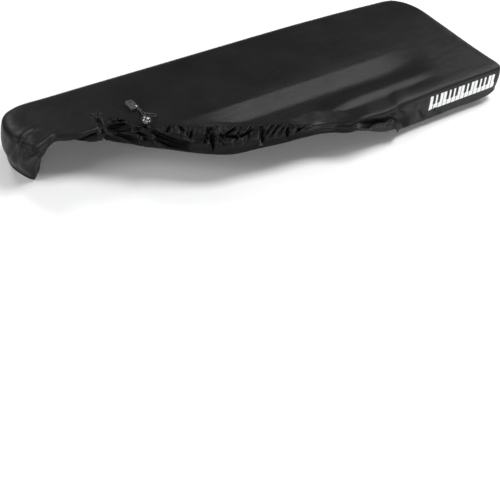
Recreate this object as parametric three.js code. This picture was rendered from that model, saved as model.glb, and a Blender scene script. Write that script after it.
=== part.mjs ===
// A fitted dust cover for a keyboard, pushed back at the front left so that its skirt lies turned over on the
// top. Millimetres. +X runs along the cover, +Y to its back, +Z up. The origin is on the underside of the top,
// at mid-length and mid-depth, where the instrument holds the cover up.
import * as THREE from "three";

const CLOTH = 2; // thickness of the sewn cloth
const RIGHT = 580; // plane of the right end wall
const FRONT = -195; // plane of the front wall, where it hangs
const BACK = 197; // plane of the back wall
const TOP_SLOPE = 0.04; // rise of the top for each millimetre to the back
const WALL_DROP = 82; // depth of the back wall below the origin
const END_DROP = 77; // depth of the right end wall
const TUCK = 21; // width of the elastic hem drawn in under a wall
const HEM_DROP = 4; // how far the drawn-in hem lies below the foot of a wall

const SPINE_RIGHT = 480; // the spokes of the sheet start on a spine between these two ends
const SPINE_LEFT = -440;
const SPINE_BEND = 115; // the spine bends back by this much at its left end
const SPINE_HALF = 20; // half the width of the strip along the spine
const TOP_SHARES = [0, 0.18, 0.33, 0.6, 0.78]; // places of a spoke's points on the top, from spine to corner
const SLOPE_END = 0.15; // share of a slope's depth that its rounding takes at each end
const EDGE_REACH = 40; // how far behind a corner the spoke still follows the top
const EDGE_SHARE = 0.6; // and at most this share of its way to the spine

const FLAP_OPEN = 5; // how far the two layers of the turned-over skirt stand apart
const FLAP_RADIUS = 6; // rounding where the turned-over skirt leaves the top
const FLAP_START = 0.15; // there it starts this share of its width in front of its hem
const FLAP_ENDS = [-402, 125]; // the skirt lies turned over between these two ends
const RECESS = 0.25; // a wall drawn in also stands back behind its fold, by this share of its depth
const GATHER_PITCH = 27; // mean distance between the gathers of the elastic hem
const GATHER_HEIGHT = 7; // height of a gather on the turned-over hem

// Distance between the stations in each part of the front edge.
const STEP = { hanging: 22, twist: 9, turned: 8.5, left: 16 };

const CORNER_SHARE = 0.29; // the middle of a rounded corner lies this share of its radius in from the rim
const NEAR_FOLD = 9; // how far from a fold the cloth is held by a point of its own, on either side
const CORD = 2.6; // diameter of the drawcord
const LOCK_RADIUS = 11.8;
const LOCK_BORE = 3.4; // radius of the bore that both strands pass
const END_SIZE = { length: 31, width: 20, height: 5, round: 6 };
const SEAT = 0.3; // gap between pieces that touch

const { clamp, lerp, smoothstep, degToRad } = THREE.MathUtils;
const vec = (x, y, z) => new THREE.Vector3(x, y, z);

// 1 between the two ends, falling to 0 at each over the given width.
function between(value, low, high, width) {
  return smoothstep(value, low, low + width) * (1 - smoothstep(value, high - width, high));
}

// How far the cloth has come down between two depths: an even slope, rounded only at its two ends.
function fallen(y, start, stop) {
  const share = clamp((start - y) / (start - stop), 0, 1);
  let down = share - SLOPE_END / 2;
  if (share < SLOPE_END) down = share ** 2 / (2 * SLOPE_END);
  if (share > 1 - SLOPE_END) down = 1 - SLOPE_END - (1 - share) ** 2 / (2 * SLOPE_END);
  return down / (1 - SLOPE_END);
}

// Two long soft folds run along the front half of the top. Each is a slope to the front and, where the wall
// hangs taut, a valley that rises again. The last two rows are slopes alone, where the slack front sinks and
// over the opening of the skirt. A fold starts and stops over a length of x.
const TOP_FOLDS = [
  { depth: 17, slope: [-17, -72], rise: [-78, -126], starts: [-350, -70], stops: [290, 440] },
  { depth: 7, slope: [-128, -150], rise: [-154, -190], starts: [-120, 30], stops: [290, 440] },
  { depth: 6, slope: [-150, -200], starts: [-330, -210], stops: [50, 170] },
  { depth: 9, slope: [-168, -200], starts: [130, 190], stops: [215, 340] },
];
const TAUT = [50, 170]; // between these places along x the pushed-back front becomes taut again
const BACK_SAG = { depth: 9, x: [150, 570], y: [60, 190] }; // the back right corner hangs through

function topHeight(x, y) {
  const taut = smoothstep(x, ...TAUT);
  let z = CLOTH / 2 + TOP_SLOPE * y;
  for (const { depth, slope, rise, starts, stops } of TOP_FOLDS) {
    const risen = rise ? taut * fallen(y, ...rise) : 0;
    z -= depth * smoothstep(x, ...starts) * (1 - smoothstep(x, ...stops)) * (fallen(y, ...slope) - risen);
  }
  return z - BACK_SAG.depth * smoothstep(x, ...BACK_SAG.x) * smoothstep(y, ...BACK_SAG.y);
}

// A key is one spoke of the cover: the corner where it leaves the top, the fold at its foot or front, and its
// hem. radius rounds the corner, bulge pushes the wall out, step is the distance between the stations that
// follow it, open parts the two layers of a turned-over skirt, and under pushes the cloth behind the fold
// inwards.
function key(rim, fold, hem, radius, bulge, step, open = 0, under = 0) {
  return { rim, fold: vec(...fold), hem: vec(...hem), radius, bulge, step, open, under };
}

function wallKey(x, y, outX, outY, drop, radius, step) {
  const foot = [x - 2 * outX, y - 2 * outY, -drop];
  const hem = [x - (TUCK + 2) * outX, y - (TUCK + 2) * outY, -drop - HEM_DROP];
  return key([x, y], foot, hem, radius, 2, step);
}

function backKeys() {
  return [-440, -220, 0, 240, 470].map((x) => wallKey(x, BACK, 0, 1, WALL_DROP, 18, 60));
}

// A quarter turn of wall keys round a plan corner. Inside a corner sharper than the tuck is wide, the hem turns
// on a small radius of its own.
function cornerKeys(centre, radius, angles, drop, rimRadius, step) {
  const tuck = TUCK + 2;
  const hemRadius = Math.max(radius - tuck, 2);
  const shift = Math.max(tuck + 2 - radius, 0);
  return angles.map((angle) => {
    const c = Math.cos(degToRad(angle));
    const s = Math.sin(degToRad(angle));
    const made = wallKey(centre[0] + radius * c, centre[1] + radius * s, c, s, drop, rimRadius, step);
    made.hem.x = centre[0] - shift + hemRadius * c;
    made.hem.y = centre[1] - shift * Math.sign(s) + hemRadius * s;
    return made;
  });
}

function rightKeys() {
  return [110, 30, -60, -150].map((y) => wallKey(RIGHT, y, 1, 0, END_DROP, 15, 50));
}

// The front wall hangs with its foot at these depths.
const HANGING = [
  { x: 540, foot: -79, hem: -74, radius: 7 },
  { x: 486, foot: -82, hem: -76, radius: 8 },
  { x: 443, foot: -80, hem: -74, radius: 9 },
  { x: 400, foot: -81, hem: -75, radius: 12 },
  { x: 345, foot: -82, hem: -75, radius: 13 },
  { x: 300, foot: -82, hem: -76, radius: 14 },
];

// Left of the hanging part the skirt twists outwards: its hem swings from under the wall to the front of it,
// and then above the fold, where it stands off the wall like the lip of a gutter.
const TWIST = [
  { rim: [268, -195], fold: [265, -199, -79], hem: [261, -187, -82], bulge: -6, radius: 15 },
  { rim: [244, -196], fold: [241, -202, -70], hem: [237, -208, -76], bulge: -14, radius: 10 },
  { rim: [231, -197], fold: [228, -204, -67], hem: [227, -211, -57], bulge: -20 },
  { rim: [219, -197], fold: [216, -205, -65], hem: [219, -208, -38], bulge: -22 },
  { rim: [207, -197], fold: [204, -206, -63], hem: [206, -207, -28], bulge: -22 },
  { rim: [190, -197], fold: [188, -206, -59], hem: [187, -208, -32], bulge: -22 },
  { rim: [172, -197], fold: [171, -206, -53], hem: [169, -208, -27], bulge: -20 },
  { rim: [155, -195], fold: [154, -206, -46], hem: [151, -207, -27], bulge: -16 },
  { rim: [137, -190], fold: [137, -206, -38], hem: [136, -210, -30], bulge: -10 },
  { rim: [121, -185], fold: [120, -205, -32], hem: [118, -209, -25], bulge: -5 },
];

// Then the skirt lies turned over on the top: fold is its front edge, hem its gathered edge.
const TURNED = [
  { rim: [105, -177], fold: [105, -203, -30], hem: [101, -199, -23] },
  { rim: [88, -166], fold: [86, -199, -31], hem: [84, -184, -24] },
  { rim: [66, -153], fold: [58, -182, -31], hem: [64, -166, -25] },
  { rim: [43, -145], fold: [28, -173, -30], hem: [44, -157, -22] },
  { fold: [-2, -169, -29], hem: [18, -148, -18] },
  { fold: [-32, -166, -28], hem: [-12, -140, -13] },
  { fold: [-65, -163, -28], hem: [-48, -124, -9] },
  { fold: [-123, -153, -28], hem: [-108, -102, -8] },
  { fold: [-189, -141, -28], hem: [-183, -73, -2] },
  { fold: [-247, -106, -27], hem: [-235, -53, 5] },
  { fold: [-296, -66, -25], hem: [-276, -28, 7] },
  { fold: [-330, -41, -23], hem: [-318, -19, 7] },
  { fold: [-344, -30, -22], hem: [-331, -4, 7] },
  { fold: [-358, -18, -20], hem: [-339, 16, 7] },
  { fold: [-377, -4, -18], hem: [-354, 42, 8] },
  { fold: [-389, 6, -17], hem: [-372, 54, 8] },
  { fold: [-396, 13, -16], hem: [-387, 50, 7] },
];

// At the left the hem swings over the fold and under it again. The edge, now rolled under, runs on round the end,
// which hangs as a bag below the instrument.
const LEFT = [
  { rim: [-400, 52], fold: [-402, 19, -16], hem: [-395, 37, 3], radius: 5, bulge: 0, open: 4 },
  { rim: [-404, 47], fold: [-405, 30, -8], hem: [-402, 20, -1], radius: 3, bulge: 0, open: 1 },
  { rim: [-409, 42], fold: [-410, 36, -5], hem: [-410, 17, -11], radius: 3, bulge: 0, under: 4 },
  { rim: [-416, 41], fold: [-417, 37, -4], hem: [-416, 19, -13], radius: 2, bulge: 0, under: 13 },
  { rim: [-428, 41], fold: [-429, 37, -4], hem: [-429, 23, -14], radius: 2, bulge: 0, under: 15 },
  { rim: [-443, 41], fold: [-444, 36, -5], hem: [-444, 33, -14], radius: 3, bulge: 0, under: 11 },
  { rim: [-456, 44], fold: [-457, 37, -6], hem: [-455, 48, -16], radius: 6, bulge: 0, under: 6 },
  { rim: [-476, 53], fold: [-476, 44, -8], hem: [-468, 66, -16], radius: 9, bulge: 0 },
  { rim: [-502, 62], fold: [-500, 55, -9], hem: [-494, 78, -16], radius: 12, bulge: 1 },
  { rim: [-530, 50], fold: [-524, 45, -11], hem: [-510, 66, -18], radius: 16, bulge: 3 },
  { rim: [-560, 44], fold: [-543, 36, -22], hem: [-526, 55, -28], radius: 20, bulge: 6 },
  { rim: [-573, 58], fold: [-547, 47, -42], hem: [-530, 64, -44], radius: 24, bulge: 10 },
  { rim: [-581, 72], fold: [-548, 58, -68], hem: [-530, 72, -64], radius: 26, bulge: 12 },
  { rim: [-583, 88], fold: [-549, 64, -96], hem: [-532, 78, -88], radius: 26, bulge: 12 },
  { rim: [-585, 112], fold: [-563, 98, -99], hem: [-538, 100, -92], radius: 24, bulge: 9 },
  { rim: [-581, 145], fold: [-571, 130, -93], hem: [-545, 122, -88], radius: 22, bulge: 6 },
  { rim: [-565, 176], fold: [-562, 161, -86], hem: [-538, 146, -86], radius: 20, bulge: 5 },
  { rim: [-530, 193], fold: [-526, 186, -84], hem: [-512, 168, -86], radius: 18, bulge: 3 },
];

function frontKeys() {
  const tucked = FRONT + TUCK + 1;
  const hanging = HANGING.map((row) =>
    key([row.x, FRONT], [row.x, FRONT - 1, row.foot], [row.x - 2, tucked, row.hem], row.radius, 1, STEP.hanging),
  );
  const twist = TWIST.map((row) => key(row.rim, row.fold, row.hem, row.radius ?? 5, row.bulge, STEP.twist));
  const turned = TURNED.map(({ rim, fold, hem }) => {
    const near = [0, 1].map((axis) => lerp(hem[axis], fold[axis], FLAP_START));
    return key(rim ?? near, fold, hem, FLAP_RADIUS, 1, STEP.turned, FLAP_OPEN);
  });
  const left = LEFT.map(({ rim, fold, hem, radius, bulge, open, under }) =>
    key(rim, fold, hem, radius, bulge, STEP.left, open, under),
  );
  return [...hanging, ...twist, ...turned, ...left];
}

const KEYS = [
  ...backKeys(),
  ...cornerKeys([514, 132], 65, [65, 45, 25], WALL_DROP - 2, 17, 16),
  ...rightKeys(),
  ...cornerKeys([563, -179], 16, [-20, -50, -75], 74, 9, 10),
  ...frontKeys(),
];

// A point on the Catmull-Rom curve through four points, between the second and the third. gaps holds the knot
// distances.
function curvePoint(points, gaps, share) {
  const [a, b, c, d] = points;
  const t = gaps[1] * share;
  const [t0, t2, t3] = [-gaps[0], gaps[1], gaps[1] + gaps[2]];
  const ab = a.clone().lerp(b, (t - t0) / -t0);
  const bc = b.clone().lerp(c, t / t2);
  const cd = c.clone().lerp(d, (t - t2) / (t3 - t2));
  const abc = ab.lerp(bc, (t - t0) / (t2 - t0));
  const bcd = bc.clone().lerp(cd, t / t3);
  return abc.lerp(bcd, t / t2);
}

// The points of a Catmull-Rom curve through the given points, with a number of steps for each span.
function curveThrough(points, steps) {
  const before = points[0].clone().multiplyScalar(2).sub(points[1]);
  const after = points.at(-1).clone().multiplyScalar(2).sub(points.at(-2));
  const all = [before, ...points, after];
  const made = [];
  steps.forEach((count, i) => {
    const four = all.slice(i, i + 4);
    const gaps = [0, 1, 2].map((j) => Math.sqrt(four[j].distanceTo(four[j + 1])));
    for (let k = 1; k <= count; k++) made.push(curvePoint(four, gaps, k / count));
  });
  return made;
}

function spineY(x) {
  return SPINE_BEND * smoothstep(-x, 130, 390);
}

// Where a spoke starts: on its own side of the spine, or on the spine's end.
function spineStart(x, y) {
  const sx = clamp(x, SPINE_LEFT, SPINE_RIGHT);
  const half = SPINE_HALF * clamp(Math.min(sx - SPINE_LEFT, SPINE_RIGHT - sx) / 60, 0, 1);
  const side = y > spineY(sx) ? 1 : -1;
  return vec(sx, spineY(sx) + side * half, 0);
}

// Spans of a spoke past the top: corner, wall, fold and hem, with their steps.
const SPANS = [1, 1, 1, 1, 1, 2, 2, 3];
const ROWS = TOP_SHARES.length + SPANS.reduce((sum, count) => sum + count, 0);
const HEM_ROWS = 3; // the last rows, from behind the fold to the hem

// The points of one spoke below the top, from where the corner starts to the hem.
function spoke({ rim, fold, hem, radius, bulge, open, under: inset }) {
  const start = spineStart(...rim);
  const inwards = vec(start.x - rim[0], start.y - rim[1], 0);
  const depth = inwards.length();
  inwards.normalize();
  const corner = vec(rim[0], rim[1], topHeight(...rim));
  const down = fold.clone().sub(corner);
  const wall = down.length();
  down.normalize();
  const reach = Math.min(radius, 0.45 * wall);
  const edge = corner.clone().addScaledVector(inwards, radius);
  edge.z = topHeight(edge.x, edge.y);
  const before = edge.clone().addScaledVector(inwards, Math.min(EDGE_REACH, EDGE_SHARE * (depth - radius)));
  before.z = topHeight(before.x, before.y);
  const under = corner.clone().addScaledVector(down, reach);
  const middle = corner.clone();
  middle.addScaledVector(inwards, CORNER_SHARE * radius).addScaledVector(down, CORNER_SHARE * reach);
  const back = hem.clone().sub(fold);
  const flap = back.length();
  back.normalize();
  const above = fold.clone().addScaledVector(down, -Math.min(NEAR_FOLD, (wall - reach) / 2));
  const behind = fold.clone().addScaledVector(back, Math.min(NEAR_FOLD, 0.4 * flap));
  const bellied = under.clone().lerp(above, 0.5);
  if (open > 0) {
    const along = back.clone().sub(down).normalize();
    const apart = vec(0, 0, 1).addScaledVector(along, -along.z).normalize();
    behind.addScaledVector(apart, 0.6 * open);
    above.addScaledVector(apart, -0.6 * open);
    bellied.addScaledVector(apart, -0.8 * open);
  } else {
    bellied.addScaledVector(inwards, -bulge);
    above.addScaledVector(inwards, RECESS * Math.max(0, -bulge));
    behind.addScaledVector(inwards, inset);
  }
  return curveThrough([before, edge, middle, under, bellied, above, fold, behind, hem], SPANS);
}

// Stations all round the cover: a smooth surface through the keys' spokes, in steps of each key's own length.
function stations() {
  const spokes = KEYS.map(spoke);
  const count = spokes.length;
  const made = [];
  spokes.forEach((here, i) => {
    const four = [-1, 0, 1, 2].map((j) => spokes[(i + j + count) % count]);
    const gaps = [0, 1, 2].map((j) => Math.sqrt(four[j].at(-3).distanceTo(four[j + 1].at(-3))));
    const spread = [0, here.length - 5, here.length - 1].map((row) => here[row].distanceTo(four[2][row]));
    const steps = Math.max(1, Math.round(Math.max(...spread) / KEYS[i].step));
    for (let k = 0; k < steps; k++) {
      const low = here.map((_, row) => curvePoint(four.map((s) => s[row]), gaps, k / steps));
      made.push([...topPoints(low[0]), ...low]);
    }
  });
  return made;
}

// The spoke's points on the top, from the spine to just before its corner.
function topPoints(edge) {
  edge.z = topHeight(edge.x, edge.y);
  const start = spineStart(edge.x, edge.y);
  const points = [];
  for (const share of TOP_SHARES) {
    const point = start.clone().lerp(edge, share);
    point.z = topHeight(point.x, point.y);
    points.push(point);
  }
  return points;
}

// The elastic draws the hem of the turned-over skirt up into uneven gathers.
function gather(station) {
  const fold = station[ROWS - 1 - HEM_ROWS - 2];
  const phase = (2 * Math.PI * fold.x) / GATHER_PITCH;
  const wave = 0.5 + 0.36 * Math.sin(phase) + 0.14 * Math.sin(1.7 * phase + 1);
  const turned = between(fold.x, ...FLAP_ENDS, 20) * smoothstep(fold.z, -44, -32);
  for (let i = 1; i <= HEM_ROWS; i++) {
    const share = i / HEM_ROWS;
    station[ROWS - 1 - HEM_ROWS + i].z += GATHER_HEIGHT * turned * wave * share;
  }
}

// Faces between the stations, and along the spine, as triples of indices into one list of merged points.
class Sheet {
  points = [];
  faces = [];
  found = new Map();

  index(point) {
    const name = [point.x, point.y, point.z].map((value) => value.toFixed(3)).join();
    if (!this.found.has(name)) {
      this.found.set(name, this.points.length);
      this.points.push(point);
    }
    return this.found.get(name);
  }

  face(a, b, c) {
    if (a !== b && b !== c && c !== a) this.faces.push([a, b, c]);
  }
}

function makeSheet(all) {
  const sheet = new Sheet();
  const grid = all.map((station) => station.map((point) => sheet.index(point)));
  grid.forEach((here, i) => {
    const next = grid[(i + 1) % grid.length];
    for (let row = 0; row + 1 < here.length; row++) {
      sheet.face(here[row], next[row + 1], here[row + 1]);
      sheet.face(here[row], next[row], next[row + 1]);
    }
  });
  closeSpine(sheet, grid);
  return { sheet, hem: grid.map((row) => row.at(-1)) };
}

// Joins the back and front starts of the spokes across the spine.
function closeSpine(sheet, grid) {
  const starts = [...new Set(grid.map((row) => row[0]))];
  const at = (i) => sheet.points[i];
  const byX = (a, b) => at(a).x - at(b).x;
  const ends = starts.filter((i) => at(i).x <= SPINE_LEFT || at(i).x >= SPINE_RIGHT);
  const inner = starts.filter((i) => !ends.includes(i));
  const front = [...ends, ...inner.filter((i) => at(i).y < spineY(at(i).x))].sort(byX);
  const back = [...ends, ...inner.filter((i) => at(i).y > spineY(at(i).x))].sort(byX);
  let f = 0;
  let b = 0;
  while (f + 1 < front.length || b + 1 < back.length) {
    const frontNext = f + 1 < front.length ? at(front[f + 1]).x : Infinity;
    const backNext = b + 1 < back.length ? at(back[b + 1]).x : Infinity;
    if (frontNext <= backNext) {
      sheet.face(front[f], front[f + 1], back[b]);
      f += 1;
    } else {
      sheet.face(front[f], back[b + 1], back[b]);
      b += 1;
    }
  }
}

// A closed solid of the cloth's thickness, with the sheet as its middle.
function thicken({ sheet, hem }) {
  const normals = sheet.points.map(() => vec(0, 0, 0));
  for (const [a, b, c] of sheet.faces) {
    const ab = sheet.points[b].clone().sub(sheet.points[a]);
    const ac = sheet.points[c].clone().sub(sheet.points[a]);
    const normal = ab.cross(ac);
    for (const i of [a, b, c]) normals[i].add(normal);
  }
  const count = sheet.points.length;
  const positions = [];
  for (const side of [0.5, -0.5]) {
    sheet.points.forEach((point, i) => {
      const moved = point.clone().addScaledVector(normals[i].normalize(), side * CLOTH);
      positions.push(moved.x, moved.y, moved.z);
    });
  }
  const index = [];
  for (const [a, b, c] of sheet.faces) index.push(a, b, c, c + count, b + count, a + count);
  hem.forEach((here, i) => {
    const next = hem[(i + 1) % hem.length];
    index.push(here, next + count, here + count, here, next, next + count);
  });
  const geometry = new THREE.BufferGeometry();
  geometry.setAttribute("position", new THREE.Float32BufferAttribute(positions, 3));
  geometry.setIndex(index);
  return geometry;
}

function coverCloth() {
  const all = stations();
  all.forEach(gather);
  return thicken(makeSheet(all));
}

// The lock is a bead with a bore, seated on the top just behind the gathered hem.
const LOCK_CENTRE = vec(-314.5, 0.4, 0);
LOCK_CENTRE.z = topHeight(LOCK_CENTRE.x, LOCK_CENTRE.y) + CLOTH / 2 + SEAT + LOCK_RADIUS;
const BORE_AXIS = vec(0.05, 0.72, 0.69).normalize();
const BORE_SIDE = vec(BORE_AXIS.y, -BORE_AXIS.x, 0).normalize();

function cordLock() {
  const mouth = Math.asin(LOCK_BORE / LOCK_RADIUS);
  const steps = 14;
  const profile = [];
  for (let i = 0; i <= steps; i++) {
    const angle = lerp(mouth, Math.PI - mouth, i / steps);
    profile.push(new THREE.Vector2(LOCK_RADIUS * Math.sin(angle), -LOCK_RADIUS * Math.cos(angle)));
  }
  profile.push(profile[0].clone());
  const turned = new THREE.LatheGeometry(profile, 28);
  const upright = new THREE.Quaternion().setFromUnitVectors(vec(0, 1, 0), BORE_AXIS);
  return turned.applyQuaternion(upright);
}

// The far ends of both strands meet in a small ferrule in the notch of a flat end piece with a slot.
const END_PLACE = vec(-306.5, 74, 0);
END_PLACE.z = topHeight(END_PLACE.x, END_PLACE.y) + CLOTH / 2 + SEAT;
const NOTCH = { width: 7.4, length: 8 };
const FERRULE = { radius: 3.2, length: 7.4 };

function endPiece() {
  const { length, width, height, round } = END_SIZE;
  const [left, right, near, far] = [-width / 2, width / 2, -length / 2, length / 2];
  const shape = new THREE.Shape();
  shape.moveTo(left, near);
  shape.lineTo(right - NOTCH.width, near);
  shape.lineTo(right - NOTCH.width, near + NOTCH.length);
  shape.lineTo(right, near + NOTCH.length);
  shape.lineTo(right, far - round);
  shape.absarc(right - round, far - round, round, 0, Math.PI / 2, false);
  shape.absarc(left + round, far - round, round, Math.PI / 2, Math.PI, false);
  shape.closePath();
  const slot = new THREE.Path();
  const [slotHalf, slotRound, slotY] = [3.2, 1.6, far - 6.5];
  slot.absarc(-slotHalf, slotY, slotRound, Math.PI / 2, 1.5 * Math.PI, false);
  slot.absarc(slotHalf, slotY, slotRound, -Math.PI / 2, Math.PI / 2, false);
  slot.closePath();
  shape.holes.push(slot);
  return new THREE.ExtrudeGeometry(shape, { depth: height, bevelEnabled: false, curveSegments: 6 });
}

// One strand of the drawcord: an eight-sided tube along a route of points chosen by hand.
function strand(route) {
  const path = new THREE.CatmullRomCurve3(route, false, "centripetal");
  const section = new THREE.Shape();
  for (let i = 0; i < 8; i++) {
    const angle = (i / 8) * 2 * Math.PI;
    section[i ? "lineTo" : "moveTo"]((CORD / 2) * Math.cos(angle), (CORD / 2) * Math.sin(angle));
  }
  section.closePath();
  const steps = Math.round(path.getLength() / (1.5 * CORD));
  return new THREE.ExtrudeGeometry(section, { steps, extrudePath: path, bevelEnabled: false });
}

// Each strand leaves the hem, passes the lock's bore beside the other one, and runs over the top to the
// ferrule.
const IN_BORE = [-11, -5.5, 0, 5.5, 12]; // places of a strand's points along the bore

function route(side, first, rest) {
  const middle = LOCK_CENTRE.clone().addScaledVector(BORE_SIDE, side * (CORD / 2 + SEAT));
  const inBore = IN_BORE.map((along) => middle.clone().addScaledVector(BORE_AXIS, along));
  return [vec(...first), ...inBore, ...rest.map((point) => vec(...point))];
}

const STRAND_A = route(
  -1,
  [-316.6, -15.4, 6.6],
  [
    [-313.4, 17, 21.5], [-308.4, 24.5, 15], [-303.4, 33, 7.6],
    [-301.7, 42, 6], [-301.6, 50, 7], [-301.6, 58, 8.1],
  ],
);
const STRAND_B = route(
  1,
  [-313.4, -15.4, 6.6],
  [
    [-308, 15.5, 22], [-300, 15.5, 17], [-290.5, 14, 9.5], [-282, 15.5, 5.8], [-277.5, 20.5, 5],
    [-281, 27, 5], [-288, 32.5, 5], [-294.8, 38, 5.4], [-298, 44, 6], [-298.4, 50, 7], [-298.4, 58, 8.1],
  ],
);

function paint(color, roughness, metalness) {
  return new THREE.MeshStandardMaterial({ color, roughness, metalness });
}

const CLOTH_FINISH = paint(0x232326, 0.75, 0);
const CORD_FINISH = paint(0x2b2b2d, 0.8, 0);
const LOCK_FINISH = paint(0x3a3a3c, 0.15, 0.6);
const END_FINISH = paint(0x4a4a4c, 0.35, 0.1);
const METAL = paint(0xb8b8ba, 0.25, 1);

function part(name, geometry, finish, parent) {
  const mesh = new THREE.Mesh(geometry, finish);
  mesh.name = name;
  parent.add(mesh);
  return mesh;
}

const cover = new THREE.Group();
part("cover_cloth", coverCloth(), CLOTH_FINISH, cover);
part("cord_lock", cordLock(), LOCK_FINISH, cover).position.copy(LOCK_CENTRE);
part("drawcord_a", strand(STRAND_A), CORD_FINISH, cover);
part("drawcord_b", strand(STRAND_B), CORD_FINISH, cover);

const fitting = new THREE.Group();
fitting.position.copy(END_PLACE);
fitting.rotation.x = Math.atan(TOP_SLOPE);
cover.add(fitting);
part("cord_end", endPiece(), END_FINISH, fitting);
const ferrule = new THREE.CylinderGeometry(FERRULE.radius, FERRULE.radius, FERRULE.length, 20);
const ferruleX = END_SIZE.width / 2 - FERRULE.radius - SEAT;
const ferruleY = -END_SIZE.length / 2 + NOTCH.length - SEAT - FERRULE.length / 2;
part("cord_ferrule", ferrule, METAL, fitting).position.set(ferruleX, ferruleY, FERRULE.radius + 0.2);

export default cover;
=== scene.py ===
# %% [markdown]
# A fitted keyboard dust cover in dark stretch cloth, held up from within. It hangs down at the back and the
# right. At the front left it is pushed back, so that its skirt lies turned over on the top and shows the
# gathered hem. On the top lie the cord lock and the flat end piece of the drawcord. Everything is built in
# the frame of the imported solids, so no piece needs fitting. Lengths are in millimetres here and become
# metres where a mesh is made.

# %% Load the solids and keep their box
import math
from collections import namedtuple

import bmesh
import bpy
import numpy as np
from mathutils import Matrix, Vector


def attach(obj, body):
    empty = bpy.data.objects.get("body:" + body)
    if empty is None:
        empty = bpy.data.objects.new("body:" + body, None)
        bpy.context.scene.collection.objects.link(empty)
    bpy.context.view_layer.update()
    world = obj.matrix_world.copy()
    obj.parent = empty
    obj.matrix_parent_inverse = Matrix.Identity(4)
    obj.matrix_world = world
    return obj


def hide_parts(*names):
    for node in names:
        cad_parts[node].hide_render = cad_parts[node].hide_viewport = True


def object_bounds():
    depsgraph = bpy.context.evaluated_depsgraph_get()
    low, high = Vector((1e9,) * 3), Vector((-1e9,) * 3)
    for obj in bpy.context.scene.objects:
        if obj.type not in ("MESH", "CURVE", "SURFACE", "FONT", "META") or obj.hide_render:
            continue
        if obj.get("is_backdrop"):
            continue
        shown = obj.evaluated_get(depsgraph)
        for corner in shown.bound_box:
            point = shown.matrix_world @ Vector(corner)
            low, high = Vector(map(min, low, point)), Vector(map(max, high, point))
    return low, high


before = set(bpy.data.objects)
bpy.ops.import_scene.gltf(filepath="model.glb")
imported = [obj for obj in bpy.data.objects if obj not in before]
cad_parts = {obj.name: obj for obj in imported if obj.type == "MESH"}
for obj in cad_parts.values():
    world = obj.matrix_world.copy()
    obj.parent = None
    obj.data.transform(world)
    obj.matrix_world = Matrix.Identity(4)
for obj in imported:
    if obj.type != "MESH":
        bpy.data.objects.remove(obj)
cad_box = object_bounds()
MM = 0.001
print("the solids fill, in mm:", [[round(c / MM) for c in corner] for corner in cad_box])

# %% [markdown]
# The camera stands in front of the left end, 41 degrees above the cover, and leans a little. A long lens
# from 2.4 metres away keeps the edges of the cover nearly parallel.

# %% Place the camera
CAMERA_PLACE = (-1295, -1576, 1302.6)
CAMERA_TILT = 41.03  # degrees below the horizon
CAMERA_TURN = -39.51  # degrees from the front, to the left end
CAMERA_ROLL = 6.11
SENSOR_WIDTH = 36.0
FOCAL_LENGTH = 75.98

camera = bpy.data.objects.new("camera", bpy.data.cameras.new("camera"))
camera.data.sensor_width = SENSOR_WIDTH
camera.data.lens = FOCAL_LENGTH
turned = Matrix.Rotation(math.radians(CAMERA_TURN), 4, "Z")
tilted = Matrix.Rotation(math.radians(90 - CAMERA_TILT), 4, "X")
rolled = Matrix.Rotation(math.radians(CAMERA_ROLL), 4, "Z")
camera.matrix_world = Matrix.Translation(Vector(CAMERA_PLACE) * MM) @ turned @ tilted @ rolled
bpy.context.scene.collection.objects.link(camera)
bpy.context.scene.camera = camera
bpy.context.scene.view_settings.view_transform = "Standard"
print("camera:", round(Vector(CAMERA_PLACE).length * MM, 2), "m from the middle of the cover")

# %% [markdown]
# The top of the cover is stretched and held up from below. It rises a little to the back, and two long soft
# folds run along its front half, where the pushed-back front leaves the cloth slack. It also comes down
# before its front rim and sags at the back right corner. A height for each place on the top is enough to
# say this, and the drawcord, its lock and the cloth itself all read it.

# %% Describe the top
CLOTH = 2.0  # thickness of the solid that stands in for the cloth
TOP_SLOPE = 0.04
TOP_FOLDS = (  # each goes down over its slope, and the first two come up again where the cloth is taut
    dict(depth=17, slope=(-17, -72), rise=(-78, -126), starts=(-350, -70), stops=(290, 440)),
    dict(depth=7, slope=(-128, -150), rise=(-154, -190), starts=(-120, 30), stops=(290, 440)),
    dict(depth=6, slope=(-150, -200), starts=(-330, -210), stops=(50, 170)),
    dict(depth=9, slope=(-168, -200), starts=(130, 190), stops=(215, 340)),
)
TAUT = (50, 170)  # between these places along the cover the cloth gets taut
BACK_SAG = dict(depth=9, x=(150, 570), y=(60, 190))
SLOPE_END = 0.15  # the share of a slope that is rounded at each of its ends


def smooth(value, low, high):
    share = np.clip((value - low) / (high - low), 0, 1)
    return share * share * (3 - 2 * share)


def between(value, low, high, width):
    return smooth(value, low, low + width) * (1 - smooth(value, high - width, high))


def fallen(y, start, stop):
    """How far the cloth has come down between two places: an even slope, rounded only at its ends."""
    share = np.clip((start - y) / (start - stop), 0, 1)
    first = share ** 2 / (2 * SLOPE_END)
    last = 1 - SLOPE_END - (1 - share) ** 2 / (2 * SLOPE_END)
    middle = share - SLOPE_END / 2
    fall = np.where(share < SLOPE_END, first, np.where(share > 1 - SLOPE_END, last, middle))
    return fall / (1 - SLOPE_END)


def top_height(x, y):
    z = CLOTH / 2 + TOP_SLOPE * y
    for fold in TOP_FOLDS:
        depth = fold["depth"] * smooth(x, *fold["starts"]) * (1 - smooth(x, *fold["stops"]))
        fall = fallen(y, *fold["slope"])
        if "rise" in fold:
            fall = fall - smooth(x, *TAUT) * fallen(y, *fold["rise"])
        z = z - depth * fall
    return z - BACK_SAG["depth"] * smooth(x, *BACK_SAG["x"]) * smooth(y, *BACK_SAG["y"])


# %% [markdown]
# A smooth curve through a few points draws the spokes of the cloth and the route of the cord alike. The
# Catmull-Rom curve passes through its points, so a place can be read off the real thing and written down as
# it is.

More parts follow.
